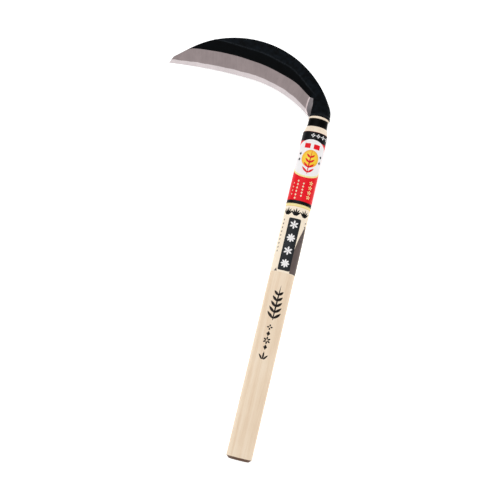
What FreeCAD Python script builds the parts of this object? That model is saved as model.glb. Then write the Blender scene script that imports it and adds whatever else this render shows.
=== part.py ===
"""Hand sickle: one forged blade on an oval wooden handle, in seven separate pieces.

Frame, in millimetres: the sickle lies on its side with +Z up. The origin is the centre of the
handle's butt face, +Y runs along the handle to its head, and the blade reaches out towards -X.
The blade has a frame of its own at the crown of the seat between flange and wood: the same
directions, turned about the handle's axis by the blade's set angle.
"""
import FreeCAD, Part
import Sketcher
import math
import os

Vector = FreeCAD.Vector

# Driving dimensions: name, value (mm or degrees) and what it measures.
SIZES = (
    ("handle_length", 396.4, "butt face to the crown of the head"),
    ("handle_width", 28.3, "oval section, across the blade's plane"),
    ("handle_depth", 22.0, "oval section, square to the blade's plane"),
    ("butt_chamfer", 3.0, "leg of the chamfer round the butt"),
    ("collar_length", 2.7, "crown of the head down to the ring"),
    ("collar_step", 2.15, "collar of wood above the ring, in from the full section"),
    ("shoulder_length", 7.4, "cone from the ring down to the full section"),
    ("shoulder_step", 1.95, "top of the cone, in from the full section"),
    ("seat_radius", 92.0, "rounding of the head that the flange sits on"),
    ("ring_length", 10.1, "ferrule ring along the handle"),
    ("ring_sink", 0.5, "outside of the ring's lower end, in from the top of the cone"),
    ("ring_taper", 0.4, "how much narrower its upper end is, each side"),
    ("ring_wall", 0.9, "thickness of the ring at its upper end"),
    ("ring_clearance", 0.02, "between ring and groove, each side"),
    ("blade_set_angle", 2.64, "turn of the blade about the handle's axis"),
    ("blade_thickness", 5.0, "forging at the spine"),
    ("tip_reach", 190.0, "handle's axis out to the tip"),
    ("tip_corner_step", 3.8, "clipped corner at the tip, along X"),
    ("tip_corner_rise", 8.4, "clipped corner at the tip, along Y"),
    ("nose_step", 15.2, "straight nose beyond the corner, along X"),
    ("nose_rise", 12.4, "straight nose beyond the corner, along Y"),
    ("heel_clear", 0.9, "heel beyond the flange's side, along X"),
    ("edge_crest_reach", 134.6, "axis out to the edge's highest point"),
    ("edge_crest_rise", 34.1, "seat up to the edge's highest point"),
    ("edge_far_radius", 554.0, "long shallow curve of the edge, at the tip"),
    ("edge_joint_reach", 90.0, "axis out to where the two curves meet"),
    ("edge_near_radius", 139.0, "tighter curve of the edge, at the heel"),
    ("spine_radius", 115.2, "curve over the back of the blade"),
    ("spine_joint_reach", 43.2, "axis out to where that curve ends"),
    ("spine_joint_rise", 67.2, "seat up to where that curve ends"),
    ("nape_out", 9.7, "start of the tight curve above the flange, along X"),
    ("nape_rise", 14.3, "start of the tight curve above the flange, along Y"),
    ("spine_foot_step", 0.7, "spine's foot in from the flange's far side, along X"),
    ("spine_foot_rise", 1.0, "spine where it meets the flange, along Y"),
    ("lip_thickness", 0.3, "cutting edge"),
    ("bevel_width", 20.5, "ground bevel, from the edge inwards"),
    ("bevel_land", 3.2, "thickness where the ground bevel ends"),
    ("ridge_width", 34.0, "edge in to the ridge where full thickness starts"),
    ("steel_width", 18.0, "hard steel layer, from the edge inwards"),
    ("steel_thickness", 0.9, "hard steel layer on the back"),
    ("flange_overhang", 0.2, "flange beyond the collar of wood, each side"),
    ("flange_shift", 0.5, "flange's centre off the handle's axis, away from the blade"),
    ("flange_thickness", 2.4, "upright rim of the flange"),
    ("flange_blank", 2.5, "metal below the seat's crown before the seat is hollowed"),
    ("neck_low_step", 0.7, "neck just above the flange, in from the flange's sides"),
    ("neck_low_depth", 12.0, "neck just above the flange"),
    ("neck_low_rise", 9.0, "seat up to that section"),
    ("neck_low_shift", 0.3, "centre of that section, along X"),
    ("neck_mid_width", 19.6, "neck at half height"),
    ("neck_mid_depth", 8.6, "neck at half height"),
    ("neck_mid_rise", 18.0, "seat up to that section"),
    ("neck_mid_shift", -1.5, "centre of that section, along X"),
    ("neck_top_width", 17.0, "neck where it runs into the blade"),
    ("neck_top_depth", 6.2, "neck where it runs into the blade"),
    ("neck_top_rise", 30.0, "seat up to that section"),
    ("neck_top_shift", -8.0, "centre of that section, along X"),
    ("neck_end_width", 13.0, "last section, inside the blade"),
    ("neck_end_depth", 4.6, "last section, inside the blade"),
    ("neck_end_rise", 42.0, "seat up to that section"),
    ("neck_end_shift", -17.0, "centre of that section, along X"),
    ("tang_length", 75.0, "below the seat"),
    ("tang_root", 2.0, "tang's start inside the flange"),
    ("tang_root_width", 12.0, "tang at the flange"),
    ("tang_root_depth", 6.5, "tang at the flange"),
    ("tang_tip_width", 6.0, "tang at its end"),
    ("tang_tip_depth", 4.0, "tang at its end"),
    ("mortise_clearance", 0.15, "slot in the wood round the tang, each side"),
    ("mortise_end_gap", 2.0, "slot beyond the tang's end"),
    ("pin_diameter", 4.0, "cross pin"),
    ("pin_drop", 44.0, "seat down to the pin"),
    ("pin_clearance", 0.05, "pin in its holes, all round"),
    ("pin_inset", 1.0, "end of the pin below the widest line of the wood"),
    ("pin_point", 0.4, "chamfer on the pin's ends"),
    ("label_thickness", 0.2, "printed sleeves"),
    ("label_gap", 0.05, "sleeve off the wood"),
    ("upper_label_length", 88.5, "down from the full section's upper end"),
    ("lower_label_length", 79.5, "down from the upper sleeve"),
)


class Dim:
    """A size known both as a number and as the sheet's expression for it."""

    def __init__(self, value, text=None):
        self.value = float(value)
        self.text = text if text is not None else repr(float(value))

    def _join(self, other, sign, value):
        return Dim(value, f"({self.text} {sign} {other.text})")

    def __add__(self, other):
        other = as_dim(other)
        return self._join(other, "+", self.value + other.value)

    def __sub__(self, other):
        other = as_dim(other)
        return self._join(other, "-", self.value - other.value)

    def __mul__(self, other):
        other = as_dim(other)
        return self._join(other, "*", self.value * other.value)

    def __truediv__(self, other):
        other = as_dim(other)
        return self._join(other, "/", self.value / other.value)

    def __neg__(self):
        return Dim(0) - self


def as_dim(value):
    """Take a number or a Dim, give a Dim."""
    return value if isinstance(value, Dim) else Dim(value)


def arcsine(ratio):
    """Angle in degrees whose sine is the given ratio."""
    return Dim(math.degrees(math.asin(ratio.value)), f"(asin({ratio.text}) / 1 deg)")


def cosine(angle):
    """Cosine of an angle in degrees."""
    return Dim(math.cos(math.radians(angle.value)), f"cos({angle.text})")


class Sheet:
    """The document's spreadsheet, whose sizes read as attributes."""

    def __init__(self, doc):
        self.cells = doc.addObject("Spreadsheet::Sheet", "Sizes")
        for row, (name, value, note) in enumerate(SIZES, start=1):
            self.cells.set(f"A{row}", name)
            self.cells.set(f"B{row}", str(value))
            self.cells.setAlias(f"B{row}", name)
            self.cells.set(f"C{row}", note)
            setattr(self, name, Dim(value, f"Sizes.{name}"))


def bind(thing, path, size):
    """Tie a property of an object to an expression of the sheet."""
    thing.setExpression(path, as_dim(size).text)


def new_body(doc, name):
    """Start a piece: a PartDesign body whose label names its file."""
    body = doc.addObject("PartDesign::Body", name)
    body.Label = name
    return body


def new_sketch(body, name, plane, at=(0, 0, 0), turn_axis=(0, 0, 1), turn=0):
    """Lay a sketch on one of the body's own planes, moved and then turned in that plane's axes."""
    origin_plane = next(f for f in body.Origin.OriginFeatures if f.Role == plane)
    sketch = body.newObject("Sketcher::SketchObject", name)
    sketch.AttachmentSupport = (origin_plane, [""])
    sketch.MapMode = "FlatFace"
    place = [as_dim(value) for value in at]
    turn = as_dim(turn)
    spot = Vector(*(value.value for value in place))
    sketch.AttachmentOffset = FreeCAD.Placement(spot, FreeCAD.Rotation(Vector(*turn_axis), turn.value))
    for axis, value in zip("xyz", place):
        bind(sketch, f"AttachmentOffset.Base.{axis}", value)
    if turn.value:
        bind(sketch, "AttachmentOffset.Rotation.Angle", turn)
    return sketch


def constrain(sketch, kind, where, size):
    """Add a dimension to a sketch and tie it to the sheet."""
    size = as_dim(size)
    index = sketch.addConstraint(Sketcher.Constraint(kind, *where, size.value))
    bind(sketch, f"Constraints[{index}]", size)


def fix_point(sketch, curve, end, x, y):
    """Place one end of a sketch curve by its two coordinates."""
    for kind, axis_index, size in (("DistanceX", -2, as_dim(x)), ("DistanceY", -1, as_dim(y))):
        if size.text == repr(0.0):
            sketch.addConstraint(Sketcher.Constraint("PointOnObject", curve, end, axis_index))
        else:
            constrain(sketch, kind, (-1, 1, curve, end), size)


def draw_polygon(sketch, corners):
    """Draw a closed outline of straight lines through corners given as pairs of sizes."""
    spots = [Vector(as_dim(x).value, as_dim(y).value, 0) for x, y in corners]
    count = len(spots)
    first = sketch.GeometryCount
    for index in range(count):
        sketch.addGeometry(Part.LineSegment(spots[index], spots[(index + 1) % count]), False)
    for index, (x, y) in enumerate(corners):
        after = first + (index + 1) % count
        sketch.addConstraint(Sketcher.Constraint("Coincident", first + index, 2, after, 1))
        fix_point(sketch, first + index, 1, x, y)


def draw_rectangle(sketch, width, height):
    """Draw a rectangle centred on the sketch's origin."""
    half_x = width / 2
    half_y = height / 2
    corners = ((-half_x, -half_y), (half_x, -half_y), (half_x, half_y), (-half_x, half_y))
    draw_polygon(sketch, corners)


def draw_oval(sketch, width, depth, shift=0):
    """Draw an oval, an ellipse wider than it is deep, with its centre moved along the width."""
    width = as_dim(width)
    depth = as_dim(depth)
    centre = Vector(as_dim(shift).value, 0, 0)
    oval = sketch.addGeometry(
        Part.Ellipse(centre + Vector(width.value / 2, 0, 0), centre + Vector(0, depth.value / 2, 0), centre),
        False,
    )
    sketch.exposeInternalGeometry(oval)
    fix_point(sketch, oval, 3, shift, 0)
    sketch.addConstraint(Sketcher.Constraint("Horizontal", oval + 1))
    constrain(sketch, "Distance", (oval + 1,), width)
    constrain(sketch, "Distance", (oval + 2,), depth)


def draw_circle(sketch, diameter, x=0, y=0):
    """Draw a circle."""
    centre = Vector(as_dim(x).value, as_dim(y).value, 0)
    circle = sketch.addGeometry(Part.Circle(centre, Vector(0, 0, 1), diameter.value / 2), False)
    fix_point(sketch, circle, 3, x, y)
    constrain(sketch, "Diameter", (circle,), diameter)


def pad(body, name, sketch, length, towards_normal=True):
    """Grow a sketch into a prism."""
    feature = body.newObject("PartDesign::Pad", name)
    feature.Profile = sketch
    feature.Reversed = not towards_normal
    bind(feature, "Length", length)
    return feature


def pocket_through(body, name, sketch):
    """Cut a sketch right through the piece, both ways."""
    feature = body.newObject("PartDesign::Pocket", name)
    feature.Profile = sketch
    feature.Type = "ThroughAll"
    feature.Midplane = True
    return feature


def loft(body, name, sketches, kind="AdditiveLoft", ruled=False):
    """Join a row of sections into one smooth or straight-sided stretch."""
    feature = body.newObject(f"PartDesign::{kind}", name)
    feature.Profile = sketches[0]
    feature.Sections = sketches[1:]
    feature.Ruled = ruled
    return feature


def turn_about_centre(body, name, sketch, angle, anticlockwise):
    """Cut a groove by turning a sketch round its own vertical axis."""
    feature = body.newObject("PartDesign::Groove", name)
    feature.Profile = sketch
    feature.ReferenceAxis = (sketch, ["V_Axis"])
    feature.Reversed = not anticlockwise
    bind(feature, "Angle", angle)
    return feature


def along_handle(y):
    """Offset of a plane square to the handle, whose normal points down the handle."""
    return (0, 0, -as_dim(y))


# --- the handle and what is fitted round it ---------------------------------------------------


def ring_foot_y(size):
    """Height of the ferrule ring's lower end, which is the top of the shoulder."""
    return size.handle_length - size.collar_length - size.ring_length


def full_section_y(size):
    """Height where the handle's full section ends and the shoulder starts."""
    return ring_foot_y(size) - size.shoulder_length


def oval_inside(size, step):
    """Width and depth of the handle's full section, taken in by a step all round."""
    return size.handle_width - step * 2, size.handle_depth - step * 2


def ring_foot_step(size):
    """How far the outside of the ring's lower end lies inside the handle's full section."""
    return size.shoulder_step + size.ring_sink


def ring_bore_step(size):
    """How far the ring's bore lies inside the handle's full section."""
    return ring_foot_step(size) + size.ring_taper + size.ring_wall


def draw_seat_side(sketch, size, crown_y, side):
    """Outline of all that lies above (side 1) or below (side -1) the rounded seat.

    The seat is an arc with its crown on the handle's axis, and the outline reaches well past
    the handle all round.
    """
    crown_y = as_dim(crown_y)
    reach = size.handle_width
    radius = size.seat_radius.value
    centre = Vector(0, crown_y.value - radius, 0)
    tilt = math.asin(reach.value / radius)
    circle = Part.Circle(centre, Vector(0, 0, 1), radius)
    arc = sketch.addGeometry(Part.ArcOfCircle(circle, math.pi / 2 - tilt, math.pi / 2 + tilt), False)
    ends_y = centre.y + radius * math.cos(tilt)
    far_y = crown_y + reach * side
    corners = (
        Vector(-reach.value, ends_y, 0),
        Vector(-reach.value, far_y.value, 0),
        Vector(reach.value, far_y.value, 0),
        Vector(reach.value, ends_y, 0),
    )
    left, across, right = (sketch.addGeometry(Part.LineSegment(one, other), False)
                           for one, other in zip(corners, corners[1:]))
    for one, one_end, other, other_end in ((arc, 2, left, 1), (left, 2, across, 1), (across, 2, right, 1),
                                           (right, 2, arc, 1)):
        sketch.addConstraint(Sketcher.Constraint("Coincident", one, one_end, other, other_end))
    sketch.addConstraint(Sketcher.Constraint("Vertical", left))
    sketch.addConstraint(Sketcher.Constraint("Vertical", right))
    constrain(sketch, "Radius", (arc,), size.seat_radius)
    fix_point(sketch, arc, 3, 0, crown_y - size.seat_radius)
    fix_point(sketch, across, 1, -reach, far_y)
    fix_point(sketch, across, 2, reach, far_y)


def make_handle(doc, size):
    """Turn out the handle: oval shaft, chamfered butt, shoulder, ring groove, collar and slot."""
    body = new_body(doc, "handle")
    butt_oval = new_sketch(body, "butt_oval", "XZ_Plane")
    draw_oval(butt_oval, *oval_inside(size, size.butt_chamfer))
    bevel_top = new_sketch(body, "bevel_top", "XZ_Plane", along_handle(size.butt_chamfer))
    draw_oval(bevel_top, size.handle_width, size.handle_depth)
    loft(body, "butt_bevel", [butt_oval, bevel_top], ruled=True)
    shaft_oval = new_sketch(body, "shaft_oval", "XZ_Plane", along_handle(size.butt_chamfer))
    draw_oval(shaft_oval, size.handle_width, size.handle_depth)
    pad(body, "shaft", shaft_oval, full_section_y(size) - size.butt_chamfer, towards_normal=False)

    cone_foot = new_sketch(body, "cone_foot", "XZ_Plane", along_handle(full_section_y(size)))
    draw_oval(cone_foot, size.handle_width, size.handle_depth)
    cone_top = new_sketch(body, "cone_top", "XZ_Plane", along_handle(ring_foot_y(size)))
    draw_oval(cone_top, *oval_inside(size, size.shoulder_step))
    loft(body, "shoulder", [cone_foot, cone_top], ruled=True)

    groove_oval = new_sketch(body, "groove_oval", "XZ_Plane", along_handle(ring_foot_y(size)))
    draw_oval(groove_oval, *oval_inside(size, ring_bore_step(size) + size.ring_clearance))
    pad(body, "ring_groove", groove_oval, size.ring_length, towards_normal=False)

    collar_foot = size.handle_length - size.collar_length
    collar_oval = new_sketch(body, "collar_oval", "XZ_Plane", along_handle(collar_foot))
    draw_oval(collar_oval, *oval_inside(size, size.collar_step))
    pad(body, "collar", collar_oval, size.collar_length, towards_normal=False)

    across_blade = {"turn_axis": (0, 1, 0), "turn": -size.blade_set_angle}
    seat_outline = new_sketch(body, "seat_outline", "XY_Plane", **across_blade)
    draw_seat_side(seat_outline, size, size.handle_length, 1)
    pocket_through(body, "seat", seat_outline)

    play = size.mortise_clearance * 2
    mouth = new_sketch(body, "slot_mouth", "XZ_Plane", along_handle(size.handle_length + size.tang_root),
                       turn=size.blade_set_angle)
    draw_rectangle(mouth, size.tang_root_width + play, size.tang_root_depth + play)
    floor_y = size.handle_length - size.tang_length - size.mortise_end_gap
    slot_end = new_sketch(body, "slot_end", "XZ_Plane", along_handle(floor_y), turn=size.blade_set_angle)
    draw_rectangle(slot_end, size.tang_tip_width + play, size.tang_tip_depth + play)
    loft(body, "tang_slot", [mouth, slot_end], "SubtractiveLoft", ruled=True)

    pin_circle = new_sketch(body, "pin_circle", "XY_Plane", **across_blade)
    draw_circle(pin_circle, size.pin_diameter + size.pin_clearance * 2, 0, size.handle_length - size.pin_drop)
    pocket_through(body, "pin_hole", pin_circle)
    return body


def make_ring(doc, size):
    """Swage the ferrule ring: a slightly conical oval band in its groove below the collar."""
    body = new_body(doc, "ferrule_ring")
    foot = new_sketch(body, "ring_foot", "XZ_Plane")
    draw_oval(foot, *oval_inside(size, ring_foot_step(size)))
    top = new_sketch(body, "ring_top", "XZ_Plane", along_handle(size.ring_length))
    draw_oval(top, *oval_inside(size, ring_foot_step(size) + size.ring_taper))
    loft(body, "band", [foot, top], ruled=True)
    bore_oval = new_sketch(body, "bore_oval", "XZ_Plane")
    draw_oval(bore_oval, *oval_inside(size, ring_bore_step(size)))
    pocket_through(body, "bore", bore_oval)
    bind(body, "Placement.Base.y", ring_foot_y(size))
    return body


def make_label(doc, size, name, foot_y, length):
    """Wrap a printed sleeve round the full section of the handle."""
    body = new_body(doc, name)
    outline = new_sketch(body, "sleeve_outline", "XZ_Plane")
    draw_oval(outline, *oval_inside(size, -(size.label_gap + size.label_thickness)))
    draw_oval(outline, *oval_inside(size, -size.label_gap))
    pad(body, "sleeve", outline, length, towards_normal=False)
    bind(body, "Placement.Base.y", foot_y)
    return body


# --- the forging: blade, neck, flange and tang, with its steel --------------------------------


def set_in_handle(body, size):
    """Put a piece drawn in the blade's frame onto the handle, at the blade's set angle."""
    body.Placement = FreeCAD.Placement(
        Vector(0, size.handle_length.value, 0),
        FreeCAD.Rotation(Vector(0, 1, 0), -size.blade_set_angle.value),
    )
    bind(body, "Placement.Base.y", size.handle_length)
    bind(body, "Placement.Rotation.Angle", -size.blade_set_angle)


def flange_oval(size):
    """Width and depth of the flange, which follow the collar of wood below it."""
    return oval_inside(size, size.collar_step - size.flange_overhang)


def heel_inset(size):
    """How far the heel of the edge lies from the handle's axis: just clear of the flange."""
    return flange_oval(size)[0] / 2 - size.flange_shift + size.heel_clear


def spine_foot_out(size):
    """How far the foot of the spine lies from the handle's axis, on the flange's far side."""
    return flange_oval(size)[0] / 2 + size.flange_shift - size.spine_foot_step


def edge_curves(size):
    """Centres of the edge's two curves and the angle of the line through both, off the Y axis."""
    sine = (size.edge_crest_reach - size.edge_joint_reach) / size.edge_far_radius
    lean = arcsine(sine)
    apart = size.edge_far_radius - size.edge_near_radius
    far_centre = (-size.edge_crest_reach, size.edge_crest_rise - size.edge_far_radius)
    near_centre = (far_centre[0] + apart * sine, far_centre[1] + apart * cosine(lean))
    return far_centre, near_centre, lean


def arc_between(centre, radius, right, left):
    """Arc over the top of a centre, from its right end round to its left end."""
    angles = [math.atan2(spot.y - centre.y, spot.x - centre.x) for spot in (right, left)]
    return Part.ArcOfCircle(Part.Circle(centre, Vector(0, 0, 1), radius), *angles)


def centre_of_arc(one, other, radius):
    """Centre, on the lower side, of a circle of a given radius through two points."""
    chord = other - one
    middle = (one + other) * 0.5
    drop = math.sqrt(radius ** 2 - (chord.Length / 2) ** 2)
    side = Vector(-chord.y, chord.x, 0).normalize()
    side = side if side.y < 0 else -side
    return middle + side * drop


def follow_on_arc(start, end, normal):
    """Centre and radius of the arc that leaves start square to a unit normal and reaches end."""
    step = end - start
    radius = -step.dot(step) / (2 * step.dot(normal))
    return start - normal * radius, radius


def draw_blade_outline(sketch, size):
    """Plan of the blade: the edge's two curves, clipped tip, straight nose, spine and nape."""
    far_centre, near_centre, _ = edge_curves(size)
    far = Vector(far_centre[0].value, far_centre[1].value, 0)
    near = Vector(near_centre[0].value, near_centre[1].value, 0)

    def on_circle(centre, radius, x):
        return Vector(x, centre.y + math.sqrt(radius ** 2 - (x - centre.x) ** 2), 0)

    tip = on_circle(far, size.edge_far_radius.value, -size.tip_reach.value)
    joint = on_circle(far, size.edge_far_radius.value, -size.edge_joint_reach.value)
    heel = on_circle(near, size.edge_near_radius.value, -heel_inset(size).value)
    corner = tip + Vector(size.tip_corner_step.value, size.tip_corner_rise.value, 0)
    nose = corner + Vector(size.nose_step.value, size.nose_rise.value, 0)
    shoulder = Vector(-size.spine_joint_reach.value, size.spine_joint_rise.value, 0)
    nape = Vector(size.nape_out.value, size.nape_rise.value, 0)
    foot = Vector(spine_foot_out(size).value, size.spine_foot_rise.value, 0)

    spine_centre = centre_of_arc(nose, shoulder, size.spine_radius.value)
    normal = (shoulder - spine_centre).normalize()
    back_centre, back_radius = follow_on_arc(shoulder, nape, normal)
    nape_centre, nape_radius = follow_on_arc(nape, foot, (nape - back_centre).normalize())

    add = sketch.addGeometry
    edge_far = add(arc_between(far, size.edge_far_radius.value, joint, tip), False)
    edge_near = add(arc_between(near, size.edge_near_radius.value, heel, joint), False)
    clip = add(Part.LineSegment(tip, corner), False)
    front = add(Part.LineSegment(corner, nose), False)
    spine = add(arc_between(spine_centre, size.spine_radius.value, shoulder, nose), False)
    back = add(arc_between(back_centre, back_radius, nape, shoulder), False)
    nape_arc = add(arc_between(nape_centre, nape_radius, foot, nape), False)
    base = add(Part.LineSegment(foot, heel), False)

    tie = sketch.addConstraint
    fix_point(sketch, edge_far, 3, *far_centre)
    constrain(sketch, "Radius", (edge_far,), size.edge_far_radius)
    constrain(sketch, "DistanceX", (-1, 1, edge_far, 2), -size.tip_reach)
    constrain(sketch, "DistanceX", (-1, 1, edge_far, 1), -size.edge_joint_reach)
    tie(Sketcher.Constraint("Tangent", edge_near, 2, edge_far, 1))
    constrain(sketch, "Radius", (edge_near,), size.edge_near_radius)
    constrain(sketch, "DistanceX", (-1, 1, edge_near, 1), -heel_inset(size))
    tie(Sketcher.Constraint("Coincident", edge_far, 2, clip, 1))
    constrain(sketch, "DistanceX", (clip, 1, clip, 2), size.tip_corner_step)
    constrain(sketch, "DistanceY", (clip, 1, clip, 2), size.tip_corner_rise)
    tie(Sketcher.Constraint("Coincident", clip, 2, front, 1))
    constrain(sketch, "DistanceX", (front, 1, front, 2), size.nose_step)
    constrain(sketch, "DistanceY", (front, 1, front, 2), size.nose_rise)
    tie(Sketcher.Constraint("Coincident", front, 2, spine, 2))
    constrain(sketch, "Radius", (spine,), size.spine_radius)
    fix_point(sketch, spine, 1, -size.spine_joint_reach, size.spine_joint_rise)
    tie(Sketcher.Constraint("Tangent", back, 2, spine, 1))
    fix_point(sketch, back, 1, size.nape_out, size.nape_rise)
    tie(Sketcher.Constraint("Tangent", nape_arc, 2, back, 1))
    fix_point(sketch, nape_arc, 1, spine_foot_out(size), size.spine_foot_rise)
    tie(Sketcher.Constraint("Coincident", nape_arc, 1, base, 1))
    tie(Sketcher.Constraint("Coincident", base, 2, edge_near, 1))


def edge_sweeps(size):
    """The edge's two curves as sweeps: name, centre, radius, angle and whether anticlockwise.

    Both start from the line through the two centres, and overrun the tip and the heel.
    """
    overrun_angle = 6
    far_centre, near_centre, lean = edge_curves(size)
    tip_lean = arcsine((size.tip_reach - size.edge_crest_reach) / size.edge_far_radius)
    heel_lean = arcsine((-near_centre[0] - heel_inset(size)) / size.edge_near_radius)
    return (
        ("far", far_centre, size.edge_far_radius, lean + tip_lean + overrun_angle, True),
        ("near", near_centre, size.edge_near_radius, heel_lean - lean + overrun_angle, False),
    )


def sweep_along_edge(body, size, name, profile):
    """Cut a profile along the whole edge; its corners are (distance in from the edge, height)."""
    _, _, lean = edge_curves(size)
    for part, centre, radius, angle, anticlockwise in edge_sweeps(size):
        sketch = new_sketch(body, f"{name}_{part}_outline", "XZ_Plane", (centre[0], 0, -centre[1]),
                            turn_axis=(0, 1, 0), turn=as_dim(90) - lean)
        draw_polygon(sketch, [(radius + inwards, height) for inwards, height in profile])
        turn_about_centre(body, f"{name}_{part}", sketch, angle, anticlockwise)


def ground_cut(size):
    """Section of what the forge and the grindstone take off the face, from the edge inwards."""
    half = size.blade_thickness / 2
    outside = as_dim(-3)
    edge = as_dim(0)
    above = half + 1
    return (
        (outside, size.lip_thickness - half),
        (edge, size.lip_thickness - half),
        (size.bevel_width, size.bevel_land - half),
        (size.ridge_width, half),
        (size.ridge_width, above),
        (outside, above),
    )


def make_forging(doc, size):
    """Forge the blade's iron: plate, ground bevels, neck, flange and tang."""
    body = new_body(doc, "forging")
    outline = new_sketch(body, "plate_outline", "XY_Plane")
    draw_blade_outline(outline, size)
    plate = pad(body, "plate", outline, size.blade_thickness)
    plate.Midplane = True

    sweep_along_edge(body, size, "grind", ground_cut(size))
    rim = new_sketch(body, "flange_rim", "XZ_Plane", along_handle(size.flange_thickness))
    draw_oval(rim, *flange_oval(size), size.flange_shift)
    pad(body, "flange", rim, size.flange_thickness + size.flange_blank)

    sections = [new_sketch(body, "neck_root", "XZ_Plane", along_handle(size.flange_thickness))]
    draw_oval(sections[0], *flange_oval(size), size.flange_shift)
    widths = {
        "low": flange_oval(size)[0] - size.neck_low_step * 2,
        "mid": size.neck_mid_width,
        "top": size.neck_top_width,
        "end": size.neck_end_width,
    }
    for place, width in widths.items():
        depth, rise, shift = (getattr(size, f"neck_{place}_{word}") for word in ("depth", "rise", "shift"))
        sections.append(new_sketch(body, f"neck_{place}", "XZ_Plane", along_handle(rise)))
        draw_oval(sections[-1], width, depth, shift)
    loft(body, "neck", sections)

    below_seat = new_sketch(body, "below_seat", "XY_Plane")
    draw_seat_side(below_seat, size, 0, -1)
    pocket_through(body, "seat_hollow", below_seat)

    root = new_sketch(body, "tang_root_outline", "XZ_Plane", along_handle(size.tang_root))
    draw_rectangle(root, size.tang_root_width, size.tang_root_depth)
    end = new_sketch(body, "tang_tip_outline", "XZ_Plane", along_handle(-size.tang_length))
    draw_rectangle(end, size.tang_tip_width, size.tang_tip_depth)
    loft(body, "tang", [root, end], ruled=True)

    hole = new_sketch(body, "pin_circle", "XY_Plane")
    draw_circle(hole, size.pin_diameter + size.pin_clearance * 2, 0, -size.pin_drop)
    pocket_through(body, "pin_hole", hole)
    set_in_handle(body, size)
    return body


def make_steel(doc, size):
    """Lay the hard steel along the back of the edge: plan of the blade, cut to its strip."""
    body = new_body(doc, "edge_steel")
    half = size.blade_thickness / 2
    outline = new_sketch(body, "layer_outline", "XY_Plane", (0, 0, -half))
    draw_blade_outline(outline, size)
    pad(body, "layer", outline, size.steel_thickness)

    margin = 1
    inner_cut = (
        (size.steel_width, -half - margin),
        (size.tip_reach, -half - margin),
        (size.tip_reach, half + margin),
        (size.steel_width, half + margin),
    )
    sweep_along_edge(body, size, "inner", inner_cut)
    sweep_along_edge(body, size, "grind", ground_cut(size))

    neck_side = new_sketch(body, "neck_side", "XY_Plane")
    reach = size.tip_reach
    heel_x = -heel_inset(size)
    draw_polygon(neck_side, ((heel_x, -reach), (reach, -reach), (reach, reach), (heel_x, reach)))
    pocket_through(body, "heel_stop", neck_side)
    set_in_handle(body, size)
    return body


def make_blade_body(doc, forging, steel):
    """Let the hard steel into the forging: the iron is what the steel leaves of it."""
    cut = doc.addObject("Part::Cut", "blade_body")
    cut.Label = "blade_body"
    cut.Base = forging
    cut.Tool = steel
    return cut


def make_pin(doc, size):
    """Cut the cross pin that holds the tang in the handle, with chamfered ends."""
    body = new_body(doc, "mekugi_pin")
    circle = new_sketch(body, "pin_section", "XY_Plane", (0, -size.pin_drop, 0))
    draw_circle(circle, size.pin_diameter)
    shank = pad(body, "shank", circle, size.handle_depth - size.pin_inset * 2)
    shank.Midplane = True
    doc.recompute()
    chamfer = body.newObject("PartDesign::Chamfer", "points")
    rims = [f"Edge{index}" for index, edge in enumerate(shank.Shape.Edges, start=1)
            if isinstance(edge.Curve, Part.Circle)]
    chamfer.Base = (shank, rims)
    bind(chamfer, "Size", size.pin_point)
    set_in_handle(body, size)
    return body


def check(doc, pieces):
    """Stop on any failed object, any cut that takes nothing away and any bad shape."""
    cuts = ("PartDesign::Pocket", "PartDesign::Groove", "PartDesign::SubtractiveLoft")
    for thing in doc.Objects:
        if "Invalid" in thing.State or "Error" in thing.State:
            raise RuntimeError(f"{thing.Name} failed: {thing.State}")
        if thing.TypeId in cuts and thing.Shape.Volume >= thing.BaseFeature.Shape.Volume:
            raise RuntimeError(f"{thing.Name} cuts nothing")
    for piece in pieces:
        if piece.Shape.isNull() or not piece.Shape.isValid() or len(piece.Shape.Solids) != 1:
            raise RuntimeError(f"{piece.Label} is not one valid solid")


def main():
    """Build the sickle's document and write each piece to its own file."""
    doc = FreeCAD.newDocument("hand_sickle")
    size = Sheet(doc)
    doc.recompute()
    upper_foot = full_section_y(size) - size.upper_label_length
    lower_foot = upper_foot - size.lower_label_length
    forging = make_forging(doc, size)
    steel = make_steel(doc, size)
    pieces = [
        make_blade_body(doc, forging, steel),
        steel,
        make_ring(doc, size),
        make_handle(doc, size),
        make_pin(doc, size),
        make_label(doc, size, "upper_label", upper_foot, size.upper_label_length),
        make_label(doc, size, "lower_label", lower_foot, size.lower_label_length),
    ]
    doc.recompute()
    check(doc, pieces)
    os.makedirs("parts", exist_ok=True)
    for piece in pieces:
        piece.Shape.exportStep(f"parts/{piece.Label}.step")
        box = piece.Shape.optimalBoundingBox()
        print(f"{piece.Label}: {piece.Shape.Volume:.0f} mm3, x {box.XMin:.1f} {box.XMax:.1f}, "
              f"y {box.YMin:.1f} {box.YMax:.1f}, z {box.ZMin:.2f} {box.ZMax:.2f}")


main()
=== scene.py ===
"""Looks of a hand sickle: fine meshes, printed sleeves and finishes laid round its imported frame.

Lengths are millimetres in the sickle's own frame until a mesh is made, which is in metres: the
origin is the centre of the butt face, +Y runs up the handle, the blade reaches towards -X and the
sickle lies on its side with +Z up. The blade has a frame of its own at the crown of its seat.
"""
import logging
import math
from dataclasses import dataclass, field
from enum import Enum
from typing import Any, Callable, Iterable, Mapping, Optional, Sequence, Union

import bmesh
import bpy
from mathutils import Matrix, Vector, noise
from mathutils.geometry import tessellate_polygon


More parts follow.
